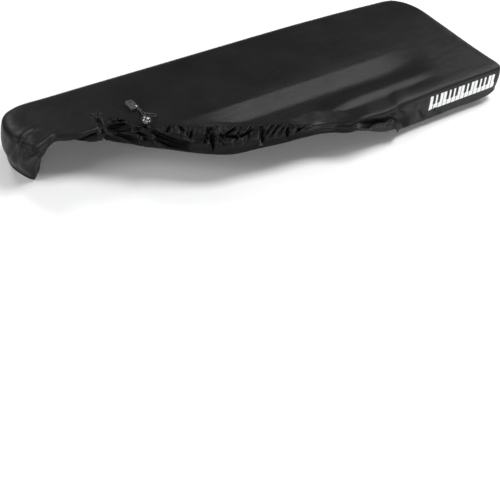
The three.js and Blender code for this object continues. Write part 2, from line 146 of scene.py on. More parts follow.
# %% Curves through points
def curve_point(four, gaps, share):
    """A point on the curve between the second and the third of four points."""
    a, b, c, d = four
    t0, t2, t3 = -gaps[0], gaps[1], gaps[1] + gaps[2]
    t = t2 * share
    ab = a + (b - a) * (t - t0) / -t0
    bc = b + (c - b) * t / t2
    cd = c + (d - c) * (t - t2) / (t3 - t2)
    abc = ab + (bc - ab) * (t - t0) / (t2 - t0)
    bcd = bc + (cd - bc) * t / t3
    return abc + (bcd - abc) * t / t2


def root_gaps(four):
    return [math.sqrt(np.linalg.norm(four[j + 1] - four[j])) for j in range(3)]


def curve_through(points, steps):
    """The curve's points after the first one, with a number of steps for each span."""
    every = [2 * points[0] - points[1], *points, 2 * points[-1] - points[-2]]
    made = []
    for i, count in enumerate(steps):
        four = every[i:i + 4]
        gaps = root_gaps(four)
        made += [curve_point(four, gaps, k / count) for k in range(1, count + 1)]
    return made


def curve_line(points, steps):
    """The whole curve, with the same number of steps for every span."""
    points = [np.array(point, float) for point in points]
    return np.array([points[0], *curve_through(points, [steps] * (len(points) - 1))])


def arc_along(line):
    return np.concatenate([[0], np.cumsum(np.linalg.norm(np.diff(line, axis=0), axis=1))])


def unit(vectors):
    return vectors / np.maximum(np.linalg.norm(vectors, axis=-1, keepdims=True), 1e-9)


# %% [markdown]
# Two strands of a thin braided cord leave the hem, pass the bore of the lock side by side and run on to the
# end piece. One of them makes a small loop on the way. The cord is a tube of real thickness, and its braid
# is raised in the tube itself: two sets of threads wind round it in opposite directions, and each rises
# where it lies on top.

# %% Lay the two strands of the drawcord
CORD = 2.6  # thickness
SEAT = 0.3  # gap under the small parts, and on either side of a strand in the bore
LOCK_RADIUS = 11.8
LOCK_CENTRE = np.array((-314.5, 0.4, 0.0))
LOCK_CENTRE[2] = top_height(*LOCK_CENTRE[:2]) + CLOTH / 2 + SEAT + LOCK_RADIUS
BORE_AXIS = unit(np.array((0.05, 0.72, 0.69)))
BORE_SIDE = unit(np.array((BORE_AXIS[1], -BORE_AXIS[0], 0)))
IN_BORE = (-11, -5.5, 0, 5.5, 12)  # a strand's points along the bore
STRANDS = {  # the side of the bore, the point where the strand leaves the hem, and its points past the lock
    "strand_a": (-1, (-316.6, -15.4, 6.6), (
        (-313.4, 17, 21.5), (-308.4, 24.5, 15), (-303.4, 33, 7.6), (-301.7, 42, 6), (-301.6, 50, 7),
        (-301.6, 58, 8.1),
    )),
    "strand_b": (1, (-313.4, -15.4, 6.6), (
        (-308, 15.5, 22), (-300, 15.5, 17), (-290.5, 14, 9.5), (-282, 15.5, 5.8), (-277.5, 20.5, 5),
        (-281, 27, 5), (-288, 32.5, 5), (-294.8, 38, 5.4), (-298, 44, 6), (-298.4, 50, 7), (-298.4, 58, 8.1),
    )),
}


def strand_route(side, first, rest):
    beside = side * (CORD / 2 + SEAT) * BORE_SIDE
    return [first, *(LOCK_CENTRE + along * BORE_AXIS + beside for along in IN_BORE), *rest]


# %% Braid the strands
ROUTE_STEPS = 24
CORD_STEP = 0.45
CORD_SIDES = 20
BRAID_RISE = 0.1
BRAID_THREADS = 4
BRAID_PITCH = 9.0


def evenly_spaced(line, step):
    along = arc_along(line)
    places = np.linspace(0, along[-1], max(2, round(along[-1] / step)) + 1)
    return np.stack([np.interp(places, along, line[:, k]) for k in range(3)], axis=1), places


def new_mesh(name, points, faces, uv):
    """A smooth-shaded piece from points in millimetres, with its places on the weave in metres."""
    mesh = bpy.data.meshes.new(name)
    mesh.from_pydata([tuple(p * MM) for p in points], [], faces)
    mesh.shade_smooth()
    layer = mesh.uv_layers.new(name="weave")
    corners = np.zeros(len(mesh.loops), int)
    mesh.loops.foreach_get("vertex_index", corners)
    layer.data.foreach_set("uv", np.asarray(uv)[corners].astype(np.float32).ravel())
    piece = bpy.data.objects.new(name, mesh)
    bpy.context.scene.collection.objects.link(piece)
    return piece


def braided_strand(name, route):
    line, along = evenly_spaced(curve_line(route, ROUTE_STEPS), CORD_STEP)
    tangent = unit(np.gradient(line, axis=0))
    across = np.cross(tangent[0], (1, 0, 0))
    points = []
    uv = []
    for centre, forward, place in zip(line, tangent, along):
        across = unit(across - (across @ forward) * forward)
        other = np.cross(forward, across)
        climb = 2 * math.pi * place / BRAID_PITCH
        for i in range(CORD_SIDES):
            turn = 2 * math.pi * i / CORD_SIDES
            crest = max(math.cos(BRAID_THREADS * (turn + climb)), math.cos(BRAID_THREADS * (turn - climb)))
            radius = CORD / 2 - BRAID_RISE + BRAID_RISE * crest
            points.append(centre + radius * (math.cos(turn) * across + math.sin(turn) * other))
            uv.append((i / CORD_SIDES, place * MM))
    last = len(points) - CORD_SIDES
    faces = [
        (row + i, row + (i + 1) % CORD_SIDES, row + CORD_SIDES + (i + 1) % CORD_SIDES, row + CORD_SIDES + i)
        for row in range(0, last, CORD_SIDES)
        for i in range(CORD_SIDES)
    ]
    faces += [tuple(range(CORD_SIDES))[::-1], tuple(range(last, last + CORD_SIDES))]
    print(name, "is", round(along[-1], 1), "mm long")
    return new_mesh(name, points, faces, uv), line, along[-1]


strands = {name: braided_strand(name, strand_route(*strand)) for name, strand in STRANDS.items()}

# %% [markdown]
# The cloth is one sheet. It is drawn as spokes that run from a line along the middle of the top, over the
# edge, down the wall and round to the hem. Each row of the tables below is one spoke: the rim, where it
# leaves the top, the fold, where it turns back, and the hem. At the right the hem is drawn in under the
# wall. Further left the skirt twists outwards and lies turned over on the top, and at the left end the edge
# is rolled under again.

# %% Tables of the cover's edge
HANGING = (  # place along the front, heights of the fold and the hem, radius of the rim
    (540, -79, -74, 7),
    (486, -82, -76, 8),
    (443, -80, -74, 9),
    (400, -81, -75, 12),
    (345, -82, -75, 13),
    (300, -82, -76, 14),
)
TWIST = (  # rim, fold, hem, radius of the rim, and how far the wall bulges
    ((268, -195), (265, -199, -79), (261, -187, -82), 15, -6),
    ((244, -196), (241, -202, -70), (237, -208, -76), 10, -14),
    ((231, -197), (228, -204, -67), (227, -211, -57), 5, -20),
    ((219, -197), (216, -205, -65), (219, -208, -38), 5, -22),
    ((207, -197), (204, -206, -63), (206, -207, -28), 5, -22),
    ((190, -197), (188, -206, -59), (187, -208, -32), 5, -22),
    ((172, -197), (171, -206, -53), (169, -208, -27), 5, -20),
    ((155, -195), (154, -206, -46), (151, -207, -27), 5, -16),
    ((137, -190), (137, -206, -38), (136, -210, -30), 5, -10),
    ((121, -185), (120, -205, -32), (118, -209, -25), 5, -5),
)
TURNED = (  # fold, hem and, where it doesn't lie close to the hem, the rim
    ((105, -203, -30), (101, -199, -23), (105, -177)),
    ((86, -199, -31), (84, -184, -24), (88, -166)),
    ((58, -182, -31), (64, -166, -25), (66, -153)),
    ((28, -173, -30), (44, -157, -22), (43, -145)),
    ((-2, -169, -29), (18, -148, -18)),
    ((-32, -166, -28), (-12, -140, -13)),
    ((-65, -163, -28), (-48, -124, -9)),
    ((-123, -153, -28), (-108, -102, -8)),
    ((-189, -141, -28), (-183, -73, -2)),
    ((-247, -106, -27), (-235, -53, 5)),
    ((-296, -66, -25), (-276, -28, 7)),
    ((-330, -41, -23), (-318, -19, 7)),
    ((-344, -30, -22), (-331, -4, 7)),
    ((-358, -18, -20), (-339, 16, 7)),
    ((-377, -4, -18), (-354, 42, 8)),
    ((-389, 6, -17), (-372, 54, 8)),
    ((-396, 13, -16), (-387, 50, 7)),
)
LEFT = (  # as in TWIST, then how far its layers stand apart, and how far the fold goes in under itself
    ((-400, 52), (-402, 19, -16), (-395, 37, 3), 5, 0, 4),
    ((-404, 47), (-405, 30, -8), (-402, 20, -1), 3, 0, 1),
    ((-409, 42), (-410, 36, -5), (-410, 17, -11), 3, 0, 0, 4),
    ((-416, 41), (-417, 37, -4), (-416, 19, -13), 2, 0, 0, 13),
    ((-428, 41), (-429, 37, -4), (-429, 23, -14), 2, 0, 0, 15),
    ((-443, 41), (-444, 36, -5), (-444, 33, -14), 3, 0, 0, 11),
    ((-456, 44), (-457, 37, -6), (-455, 48, -16), 6, 0, 0, 6),
    ((-476, 53), (-476, 44, -8), (-468, 66, -16), 9, 0),
    ((-502, 62), (-500, 55, -9), (-494, 78, -16), 12, 1),
    ((-530, 50), (-524, 45, -11), (-510, 66, -18), 16, 3),
    ((-560, 44), (-543, 36, -22), (-526, 55, -28), 20, 6),
    ((-573, 58), (-547, 47, -42), (-530, 64, -44), 24, 10),
    ((-581, 72), (-548, 58, -68), (-530, 72, -64), 26, 12),
    ((-583, 88), (-549, 64, -96), (-532, 78, -88), 26, 12),
    ((-585, 112), (-563, 98, -99), (-538, 100, -92), 24, 9),
    ((-581, 145), (-571, 130, -93), (-545, 122, -88), 22, 6),
    ((-565, 176), (-562, 161, -86), (-538, 146, -86), 20, 5),
    ((-530, 193), (-526, 186, -84), (-512, 168, -86), 18, 3),
)

# %% Make a spoke of each row
SpokeRow = namedtuple("SpokeRow", "rim fold hem radius bulge open under step")

RIGHT = 580
FRONT = -195
BACK = 197
WALL_DROP = 82
END_DROP = 77
WALL_RIM = 18  # radius of the rim
END_RIM = 15
TUCK = 23  # the hem is drawn in under the wall by this much
HEM_DROP = 4
WALL_LEAN = 2  # the foot of a wall lies this far in from its rim
LEAST_TURN = 2  # the hem turns a corner on no smaller radius
BACK_CORNER = dict(centre=(514, 132), radius=65, angles=(65, 45, 25), drop=80, rim_radius=17, step=4.0)
FRONT_CORNER = dict(centre=(563, -179), radius=16, angles=(-20, -50, -75), drop=74, rim_radius=9, step=3.0)
FLAP_RADIUS = 6
FLAP_START = 0.15  # the rim of the turned-over skirt lies this share of the way from its hem to its fold
FLAP_OPEN = 5  # how far the two layers of the turned-over skirt stand apart
STEP_BACK = 7.0
STEP_FRONT = 5.0
STEP_TWIST = 2.2
STEP_TURNED = 2.0
STEP_LEFT = 3.2
TIGHT_LEFT = -450  # to the right of this place the rolled edge turns as tightly as the twist


def spoke_row(rim, fold, hem, radius=5, bulge=1, open=0, under=0, step=STEP_BACK):
    return SpokeRow(rim, np.array(fold, float), np.array(hem, float), radius, bulge, open, under, step)


def wall_row(x, y, out_x, out_y, drop, radius, step=STEP_BACK):
    foot = (x - WALL_LEAN * out_x, y - WALL_LEAN * out_y, -drop)
    hem = (x - TUCK * out_x, y - TUCK * out_y, -drop - HEM_DROP)
    return spoke_row((x, y), foot, hem, radius, bulge=2, step=step)


def corner_rows(centre, radius, angles, drop, rim_radius, step):
    """A quarter turn of walls. In a corner sharper than the tuck is wide, the hem has a radius of its own."""
    hem_radius = max(radius - TUCK, LEAST_TURN)
    shift = max(TUCK + LEAST_TURN - radius, 0)
    made = []
    for angle in map(math.radians, angles):
        c, s = math.cos(angle), math.sin(angle)
        made.append(wall_row(centre[0] + radius * c, centre[1] + radius * s, c, s, drop, rim_radius, step))
        made[-1].hem[:2] = centre[0] - shift + hem_radius * c, centre[1] - shift * np.sign(s) + hem_radius * s
    return made


def turned_row(fold, hem, rim=None):
    near = tuple(np.array(hem[:2]) * (1 - FLAP_START) + np.array(fold[:2]) * FLAP_START)
    return spoke_row(rim or near, fold, hem, FLAP_RADIUS, open=FLAP_OPEN, step=STEP_TURNED)


SPOKE_ROWS = [
    *[wall_row(x, BACK, 0, 1, WALL_DROP, WALL_RIM) for x in (-440, -220, 0, 240, 470)],
    *corner_rows(**BACK_CORNER),
    *[wall_row(RIGHT, y, 1, 0, END_DROP, END_RIM) for y in (110, 30, -60, -150)],
    *corner_rows(**FRONT_CORNER),
    *[
        spoke_row((x, FRONT), (x, FRONT - 1, foot), (x - 2, FRONT + TUCK - 1, hem), radius, step=STEP_FRONT)
        for x, foot, hem, radius in HANGING
    ],
    *[spoke_row(*given, step=STEP_TWIST) for given in TWIST],
    *[turned_row(*given) for given in TURNED],
    *[spoke_row(*given, step=STEP_TWIST if given[0][0] > TIGHT_LEFT else STEP_LEFT) for given in LEFT],
]
print(len(SPOKE_ROWS), "spokes in the tables")

# %% [markdown]
# Between two spokes of the tables the sheet is a smooth surface. Each spoke gets rows of points: close
# together at the rim, the fold and the hem, where the cloth turns, and wider apart on the top and down the
# wall.

# %% Draw the spokes
SPINE_ENDS = (-440, 480)  # of the line along the middle of the top, from which the spokes run
SPINE_BEND = 115
SPINE_TURN = (-130, -390)
SPINE_HALF = 20  # the spokes start this far from the line
SPINE_TAPER = 60  # and nearer to it over this part of either end
SPANS = (8, 3, 3, 6, 6, 4, 4, 30)  # steps between the points of a spoke
FOLD_STEP = sum(SPANS[:6]) - 1
EDGE_REACH = 40  # the last stretch of the top before the rim
EDGE_SHARE = 0.6  # or this share of the way from the middle
RIM_SHARE = 0.45  # the rim takes up no more of the wall than this
CORNER_SHARE = 0.29  # the round rim passes its corner at this share of its radius
NEAR_FOLD = 9  # from the fold to the points before and behind it
BEHIND_SHARE = 0.4  # or this share of the way to the hem
OPEN_FOLD = 0.6  # shares of the gap between two open layers, by the fold
OPEN_WALL = 0.8  # and halfway down the wall
RECESS = 0.25  # a wall drawn in also stands back behind its fold, by this share


def spine_y(x):
    return SPINE_BEND * smooth(x, *SPINE_TURN)


def spine_start(x, y):
    left, right = SPINE_ENDS
    x = np.clip(x, left, right)
    half = SPINE_HALF * np.clip(min(x - left, right - x) / SPINE_TAPER, 0, 1)
    return np.array((x, spine_y(x) + (half if y > spine_y(x) else -half), 0))


def on_top(point):
    return np.array((point[0], point[1], top_height(point[0], point[1])))


def spoke(k):
    corner = on_top(k.rim)
    inwards = spine_start(*k.rim) - corner
    inwards[2] = 0
    depth = np.linalg.norm(inwards)
    inwards = inwards / depth
    wall = np.linalg.norm(k.fold - corner)
    down = unit(k.fold - corner)
    back = unit(k.hem - k.fold)
    reach = min(k.radius, RIM_SHARE * wall)
    edge = on_top(corner + k.radius * inwards)
    before = on_top(edge + min(EDGE_REACH, EDGE_SHARE * (depth - k.radius)) * inwards)
    middle = corner + CORNER_SHARE * k.radius * inwards + CORNER_SHARE * reach * down
    under = corner + reach * down
    above = k.fold - min(NEAR_FOLD, (wall - reach) / 2) * down
    behind = k.fold + min(NEAR_FOLD, BEHIND_SHARE * np.linalg.norm(k.hem - k.fold)) * back
    bellied = (under + above) / 2
    if k.open:
        along = unit(back - down)
        apart = k.open * unit(np.array((0, 0, 1)) - along[2] * along)
        behind = behind + OPEN_FOLD * apart
        above = above - OPEN_FOLD * apart
        bellied = bellied - OPEN_WALL * apart
    else:
        bellied = bellied - k.bulge * inwards
        above = above + RECESS * max(0, -k.bulge) * inwards
        behind = behind + k.under * inwards
    points = [before, edge, middle, under, bellied, above, k.fold, behind, k.hem]
    return np.array(curve_through(points, SPANS))


# %% Fill in between the spokes
TOP_SHARES = (
    0, 0.03, 0.06, 0.11, 0.17, 0.22, 0.27, 0.3, 0.325, 0.35, 0.39, 0.44, 0.49, 0.54, 0.59, 0.62, 0.65,
    0.68, 0.72, 0.75, 0.775, 0.8, 0.84, 0.88, 0.92, 0.96,
)
TOP_ROWS = len(TOP_SHARES)
RIM_ROW = TOP_ROWS + SPANS[0] - 1
FOLD_ROW = TOP_ROWS + FOLD_STEP
HEM_ROW = TOP_ROWS + sum(SPANS) - 1


def top_points(edge):
    start = spine_start(edge[0], edge[1])
    points = start + np.array(TOP_SHARES)[:, None] * (edge - start)
    points[:, 2] = top_height(points[:, 0], points[:, 1])
    return points


def all_stations():
    """The sheet as stations of points, and which of them lie where the cloth turns tightly."""
    spokes = [spoke(k) for k in SPOKE_ROWS]
    made = []
    fine = []
    for i, here in enumerate(spokes):
        four = [spokes[(i + j) % len(spokes)] for j in (-1, 0, 1, 2)]
        gaps = root_gaps([points[FOLD_STEP] for points in four])
        spread = max(np.linalg.norm(four[2][row] - here[row]) for row in (0, FOLD_STEP, -1))
        steps = max(1, round(spread / SPOKE_ROWS[i].step))
        for k in range(steps):
            low = curve_point(four, gaps, k / steps)
            low[0] = on_top(low[0])
            made.append(np.concatenate([top_points(low[0]), low]))
            fine.append(SPOKE_ROWS[i].step < STEP_FRONT)
    return np.array(made), fine


sheet, FINE = all_stations()
print("stations and rows:", sheet.shape[:2])

# %% [markdown]
# Folds are pushed into the sheet along its own normal. Most of them are laid one by one: a crease is a soft
# ridge or trough along a short route, and its table gives how wide and how high it is. The folds of the
# skirt that lies turned over are kept apart from those of the outer side, because the two layers lie close
# together there.

# %% Tables of the creases
FLAP_CREASES = (  # width, height and route
    (8, -18, [(-412, 24), (-396, 28), (-380, 27), (-366, 22), (-352, 14), (-344, 8)]),
    (1.8, 5, [(-384, 40), (-374, 38), (-366, 36), (-357, 32), (-348, 28)]),
    (1.8, 5, [(-378, 48), (-368, 45), (-360, 42), (-352, 38), (-344, 32)]),
    (1.8, -6, [(-352, 36), (-346, 28), (-343, 22)]),
    (1.8, -6, [(-362, 46), (-358, 38), (-354, 32)]),
    (2, -9, [(-374, 8), (-360, -8), (-350, -20), (-343, -29)]),
    (1.6, 5, [(-382, 12), (-366, -4), (-354, -16), (-345, -27), (-337, -34)]),
    (2, -9, [(-318, -34), (-306, -46), (-296, -56), (-287, -65)]),
    (2.4, -12, [(-392, 28), (-379, 15), (-369, 4), (-361, -3), (-352, -13), (-343, -26)]),
    (3, -15, [(-346, 7), (-330, -9), (-321, -19), (-310, -30), (-302, -39), (-288, -52)]),
    (5, -16, [(-316, -27), (-291, -50), (-281, -62), (-270, -73), (-255, -88)]),
    (4.2, -15, [(-348, -3), (-335, -18), (-331, -26), (-327, -33), (-323, -43)]),
    (2.4, 9, [(-372, 14), (-350, -3), (-331, -25), (-314, -46), (-296, -66), (-270, -90)]),
    (5.5, 8, [(-306, -29), (-288, -43), (-277, -52), (-266, -63), (-248, -82)]),
    (3.4, -16, [(-230, -49), (-236, -54), (-242, -60), (-249, -67), (-254, -75)]),
    (3, -15, [(-190, -66), (-208, -75), (-220, -80), (-222, -89), (-219, -101), (-223, -119)]),
    (5, -11, [(-208, -74), (-212, -84), (-215, -94), (-219, -106)]),
    (2.4, -14, [(-138, -86), (-145, -89), (-159, -93), (-174, -97), (-182, -99)]),
    (2.4, -14, [(-100, -104), (-121, -108), (-134, -112), (-149, -114), (-156, -115)]),
    (4.2, -15, [(-90, -108), (-96, -113), (-101, -123), (-113, -139), (-118, -148)]),
    (2.2, -12, [(-271, -27), (-281, -33), (-291, -39)]),
    (2, -10, [(-259, -36), (-257, -46), (-255, -56)]),
    (2.2, -12, [(-337, 24), (-345, 20), (-351, 16)]),
    (1.8, 8, [(-233, -70), (-226, -86), (-222, -96), (-223, -104), (-227, -120)]),
    (2.2, 5, [(-204, -90), (-201, -95), (-193, -110), (-190, -118)]),
    (3.2, -10, [(-198, -95), (-190, -97), (-176, -105), (-165, -111), (-158, -114)]),
    (4, -14, [(-30, -126), (-48, -143), (-60, -157)]),
    (3, -9, [(-12, -136), (-25, -156)]),
)
OUTER_CREASES = (
    (2.4, -10, [(-386, 92, 5), (-389, 82, 4), (-394, 71, 4), (-399, 58, 3)]),
    (2, 0.4, [(-392, 92, 5), (-397, 80, 4), (-401, 69, 4), (-404, 58, 3), (-406, 48, 2), (-406, 40, -1)]),
    (3.4, -8, [(-389, 74, 4), (-391, 67, 4), (-393, 60, 3), (-396, 52, 2), (-401, 42, -3)]),
    (6, 1.2, [(-440, 118, 7), (-422, 114, 7), (-370, 99, 6), (-317, 85, 5), (-290, 78, 4)]),
    (6, 1, [(-310, 106, 6), (-294, 102, 6), (-249, 100, 6), (-225, 98, 6)]),
    (7, -1, [(-425, 98, 6), (-375, 84, 5), (-330, 70, 4)]),
    (3.5, -3.2, [
        (-583, 112, -50), (-582, 105, -41), (-577, 90, -15), (-562, 83, 3), (-540, 93, 6), (-517, 98, 6),
    ]),
    (7, 1.2, [(-584, 120, -40), (-578, 102, -13), (-560, 95, 4), (-538, 104, 6), (-510, 110, 6)]),
    (3.5, -2.2, [
        (-576, 76, -40), (-573, 70, -26), (-568, 66, -5), (-553, 77, 5), (-535, 90, 6), (-515, 94, 6),
    ]),
    (5, -1.6, [(-574, 76, -25), (-577, 80, -40), (-575, 82, -55), (-571, 93, -78)]),
    (8, 1.2, [(-580, 96, -30), (-580, 98, -50), (-572, 106, -80)]),
    (5, -1, [(-582, 130, -30), (-578, 132, -55), (-572, 134, -80)]),
    (7.5, -17, [(222, -199, -24), (238, -199, -33), (254, -199, -45), (268, -200, -60), (274, -200, -80)]),
    (4, 4, [(232, -199, -16), (252, -199, -26), (270, -199, -39), (284, -200, -58)]),
    (3, 3, [
        (14, -140, -22), (44, -150, -23), (68, -157, -25), (87, -169, -24), (101, -184, -22),
        (108, -196, -22),
    ]),
    (4, -6, [(300, -197, -40), (310, -197, -50), (320, -197, -62), (330, -197, -78)]),
    (3.2, -4.5, [(344, -197, -48), (356, -197, -58), (370, -197, -68), (384, -197, -80)]),
    (3, 2.5, [(286, -197, -24), (310, -197, -28), (340, -197, -22)]),
    (2.2, 2, [(280, -197, -62), (294, -197, -60), (306, -197, -66)]),
    (2.2, -2, [(284, -197, -70), (298, -197, -66), (312, -197, -70)]),
)
print(len(FLAP_CREASES), "creases in the turned-over skirt and", len(OUTER_CREASES), "on the outer side")

# %% Press a crease into the sheet
CREASE_STEPS = 8
CREASE_REACH = 3  # times its width
CREASE_FADE = 0.18  # the share of its route over which a crease fades out at either end


def crease_rise(mask, width, height, route):
    """How far a crease lifts each point of the sheet that the mask names."""
    line = curve_line(route, CREASE_STEPS)
    places = sheet[:, :, :line.shape[1]]
    reach = CREASE_REACH * width
    near = mask & ((places > line.min(axis=0) - reach) & (places < line.max(axis=0) + reach)).all(axis=2)
    apart = np.linalg.norm(places[near][:, None] - line[None], axis=2)
    along = apart.argmin(axis=1) / (len(line) - 1)
    rise = np.zeros(sheet.shape[:2])
    rise[near] = height * between(along, 0, 1, CREASE_FADE) * np.exp(-(apart.min(axis=1) / width) ** 2)
    return rise


# %% [markdown]
# The elastic draws the hem together, so the turned-over skirt also stands in uneven gathers that are deep
# at the hem and fade towards the fold. They run aslant, and further left they flatten out, where the skirt
# is pulled lengthways.

# %% Find the turned-over skirt
FLAP = dict(low=-402, high=125, width=14)  # where along the cover its fold lies, and how wide its ends fade
FLAP_HEIGHTS = (-44, -32)  # a fold below the first hangs, and one above the second lies turned over
FLAP_BACK = 30
FLAP_MARGIN = 3  # its creases reach this many rows past the fold
OPENING = dict(low=132, high=222, width=14)  # where the front stands open beside it
OPENING_FRONT = -190

rows = np.arange(sheet.shape[1])[None, :]
share = np.clip((rows - FOLD_ROW) / (HEM_ROW - FOLD_ROW), 0, 1)
fold_line = sheet[:, FOLD_ROW]
along_fold = arc_along(fold_line)[:, None]
lies_over = smooth(fold_line[:, 2], *FLAP_HEIGHTS) * (fold_line[:, 1] < FLAP_BACK)
turned_over = (between(fold_line[:, 0], **FLAP) * lies_over)[:, None]
in_opening = between(fold_line[:, 0], **OPENING)[:, None] * (fold_line[:, 1] < OPENING_FRONT)[:, None]
print(int((turned_over > 0.5).sum()), "stations lie turned over")

# %% Gather the hem and press the creases
GATHERS = dict(pitch=27.0, slant=48.0)
PUCKERS = dict(pitch=8.5, slant=10, start=3)
RUFFLES = dict(pitch=16.0, slant=-20)
LENSES = dict(pitch=10.0)
GATHER_HEIGHT = 9.0
PUCKER_HEIGHT = 2.2
RUFFLE_HEIGHT = 5.0
LENS_HEIGHT = 3.2
GATHER_LEVEL = 0.55  # a gather stands above the plain skirt from this share of its own height
RUFFLE_LEVEL = 0.6
PULLED = (-275, -235)  # to the left of these places the skirt is pulled lengthways
CALM = (-30, 20)  # and to the right of these it lies smoother
CALM_SHARE = 0.85
PUFF = 9.0  # the turned-over skirt stands this far off the top, between its creases
PUFF_LOSS = 0.65  # the share of it that is lost at the hem
LEAST_FOLD = -0.5
LEAN = 0.8  # the folds of the skirt lean over to the front by this share of their height
WANDER = ((0.28, 0.41, 0), (0.2, 0.73, 1))  # waves that make a pitch uneven: their shift, length and start
ROUNDNESS = 0.8


def bulges(pitch, slant=0, start=0):
    """Round bulges with sharp valleys between them, from 0 to 1, at an uneven pitch along the fold."""
    place = along_fold + start + slant * share
    uneven = place
    for shift, length, phase in WANDER:
        uneven = uneven + shift * pitch * np.sin(place / (length * pitch) + phase)
    return np.abs(np.sin(np.pi * uneven / pitch)) ** ROUNDNESS


def normals_of(grid):
    """The outer side's direction: up on the top, and down on the skirt that lies turned over."""
    return unit(np.cross(np.roll(grid, -1, axis=0) - np.roll(grid, 1, axis=0), np.gradient(grid, axis=1)))


crosswise = smooth(sheet[:, :, 0], *PULLED)
folds = GATHER_HEIGHT * crosswise * (bulges(**GATHERS) - GATHER_LEVEL) * smooth(share, 0.1, 0.7)
folds = folds + PUCKER_HEIGHT * bulges(**PUCKERS) * smooth(share, 0.6, 1)
folds = folds + (
    RUFFLE_HEIGHT * (1 - crosswise) * (bulges(**RUFFLES) - RUFFLE_LEVEL) * smooth(share, 0.55, 0.95)
)
folds = folds + PUFF * smooth(share, 0.05, 0.4) * (1 - PUFF_LOSS * smooth(share, 0.72, 1))
folds = folds * (1 - CALM_SHARE * smooth(sheet[:, :, 0], *CALM))
on_flap = (rows > FOLD_ROW - FLAP_MARGIN) & (turned_over > 0.01)
folds = folds + sum(crease_rise(on_flap, *crease) for crease in FLAP_CREASES)
folds = turned_over * smooth(share, 0, 0.12) * np.maximum(folds, LEAST_FOLD)
folds = folds + LENS_HEIGHT * in_opening * smooth(share, 0.15, 0.5) * bulges(**LENSES)
outer = sum(crease_rise(rows <= FOLD_ROW, *crease) for crease in OUTER_CREASES)
lean = fold_line - sheet[:, HEM_ROW]
lean[:, 2] = 0
sheet = sheet + normals_of(sheet) * (outer - folds)[..., None] + LEAN * folds[..., None] * unit(lean)[:, None]
print("folds of the turned-over skirt stand up to", round(float(folds.max()), 1), "mm high")

# %% [markdown]
# The sheet becomes a closed cloth of even thickness with a little more at the hem, where the elastic runs
# in its casing. A sheet's pattern has to follow the cloth, so each point keeps its place on the cloth as
# laid flat: where it is on the top, or how far down its own spoke. Where the cloth is plain, a few points
# do the work of many.

# %% Measure along the spokes
def spoke_lengths(grid):
    return np.linalg.norm(np.diff(grid, axis=1), axis=2)


def spoke_uv(grid):
    """Each point's place on the cloth as laid flat."""
    start = grid[:, RIM_ROW, :2]
    out = unit(start - grid[:, RIM_ROW - 3, :2])
    past = np.zeros(grid.shape[:2])
    past[:, RIM_ROW + 1:] = np.cumsum(spoke_lengths(grid)[:, RIM_ROW:], axis=1)
    flat = grid[:, :, :2].copy()
    flat[:, RIM_ROW:] = start[:, None] + out[:, None] * past[:, RIM_ROW:, None]
    return flat


def from_hem(grid):
    """How far each point is from the hem, along its spoke."""
    distances = np.cumsum(spoke_lengths(grid)[:, ::-1], axis=1)[:, ::-1]
    return np.concatenate([distances, np.zeros((len(grid), 1))], axis=1)


# %% Merge points where the cloth is plain
FINE_RUN = 5  # on the top, one station in this many keeps its points where the stations lie close together
WIDE_RUN = 2  # and one in this many elsewhere


def kept_stations():
    """For each station, the one whose points it takes on the top."""
    kept = [0]
    for i in range(1, len(FINE)):
        same = FINE[i] == FINE[i - 1] and i - kept[-1] < (FINE_RUN if FINE[i] else WIDE_RUN)
        kept.append(kept[-1] if same else i)
    return kept


KEPT = kept_stations()


def kept_place(i, row):
    """Where to find the point for a place. In plain cloth, one point serves several places."""
    if row < TOP_ROWS:
        return KEPT[i], row
    if row < HEM_ROW - 2 and (row > FOLD_ROW and turned_over[i] == 0 or not FINE[i]):
        return i, row - row % 2
    return i, row


def spine_faces(points, starts):
    """The strip between the back and the front starts of the spokes."""
    ends = [i for i in starts if not SPINE_ENDS[0] < points[i][0] < SPINE_ENDS[1]]

    def strip_edge(side):
        inner = [i for i in starts if i not in ends and side * (points[i][1] - spine_y(points[i][0])) > 0]
        return sorted(ends + inner, key=lambda i: points[i][0])

    front, back = strip_edge(-1), strip_edge(1)
    faces = []
    f = b = 0
    while f + 1 < len(front) or b + 1 < len(back):
        front_next = points[front[f + 1]][0] if f + 1 < len(front) else math.inf
        back_next = points[back[b + 1]][0] if b + 1 < len(back) else math.inf
        if front_next <= back_next:
            faces.append((front[f], front[f + 1], back[b]))
            f += 1
        else:
            faces.append((front[f], back[b + 1], back[b]))
            b += 1
    return [face for face in faces if len(set(face)) == 3]


def merged(grid):
    """Points and faces of the sheet, closed along its middle line, and each point's place in the grid."""
    numbers = {}
    kept = []
    index = np.zeros(grid.shape[:2], int)
    for i, row in np.ndindex(index.shape):
        place = kept_place(i, row)
        name = tuple(np.round(grid[place], 3)) if row == 0 else place
        if name not in numbers:
            numbers[name] = len(kept)
            kept.append(place)
        index[i, row] = numbers[name]
    points = np.array([grid[place] for place in kept])
    faces = []
    for here, there in zip(index, np.roll(index, -1, axis=0)):
        for corners in zip(here, there, there[1:], here[1:]):
            face = [c for k, c in enumerate(corners) if c != corners[k - 1]]
            if len(face) > 2:
                faces.append(tuple(face))
    return points, faces + spine_faces(points, sorted(set(index[:, 0]))), index, kept


# %% Give the cloth its thickness
THICKNESS = 0.9
HEM_THICKNESS = 2.4
CASING = 9.0  # width of the hem's casing, in which the elastic runs
CASING_EDGE = 1.5  # the cloth gets thicker over this width


def point_normals(points, faces):
    mesh = bpy.data.meshes.new("middle_of_the_cloth")
    mesh.from_pydata([tuple(p) for p in points], [], faces)
    shape = bmesh.new()
    shape.from_mesh(mesh)
    shape.normal_update()
    normals = np.array([tuple(v.normal) for v in shape.verts])
    shape.free()
    bpy.data.meshes.remove(mesh)
    return normals


def point_value(piece, name, values):
    """An attribute of the mesh that a finish can read, for the points of both sides."""
    layer = piece.data.attributes.new(name, "FLOAT", "POINT")
    layer.data.foreach_set("value", np.tile(np.asarray(values, np.float32), 2))


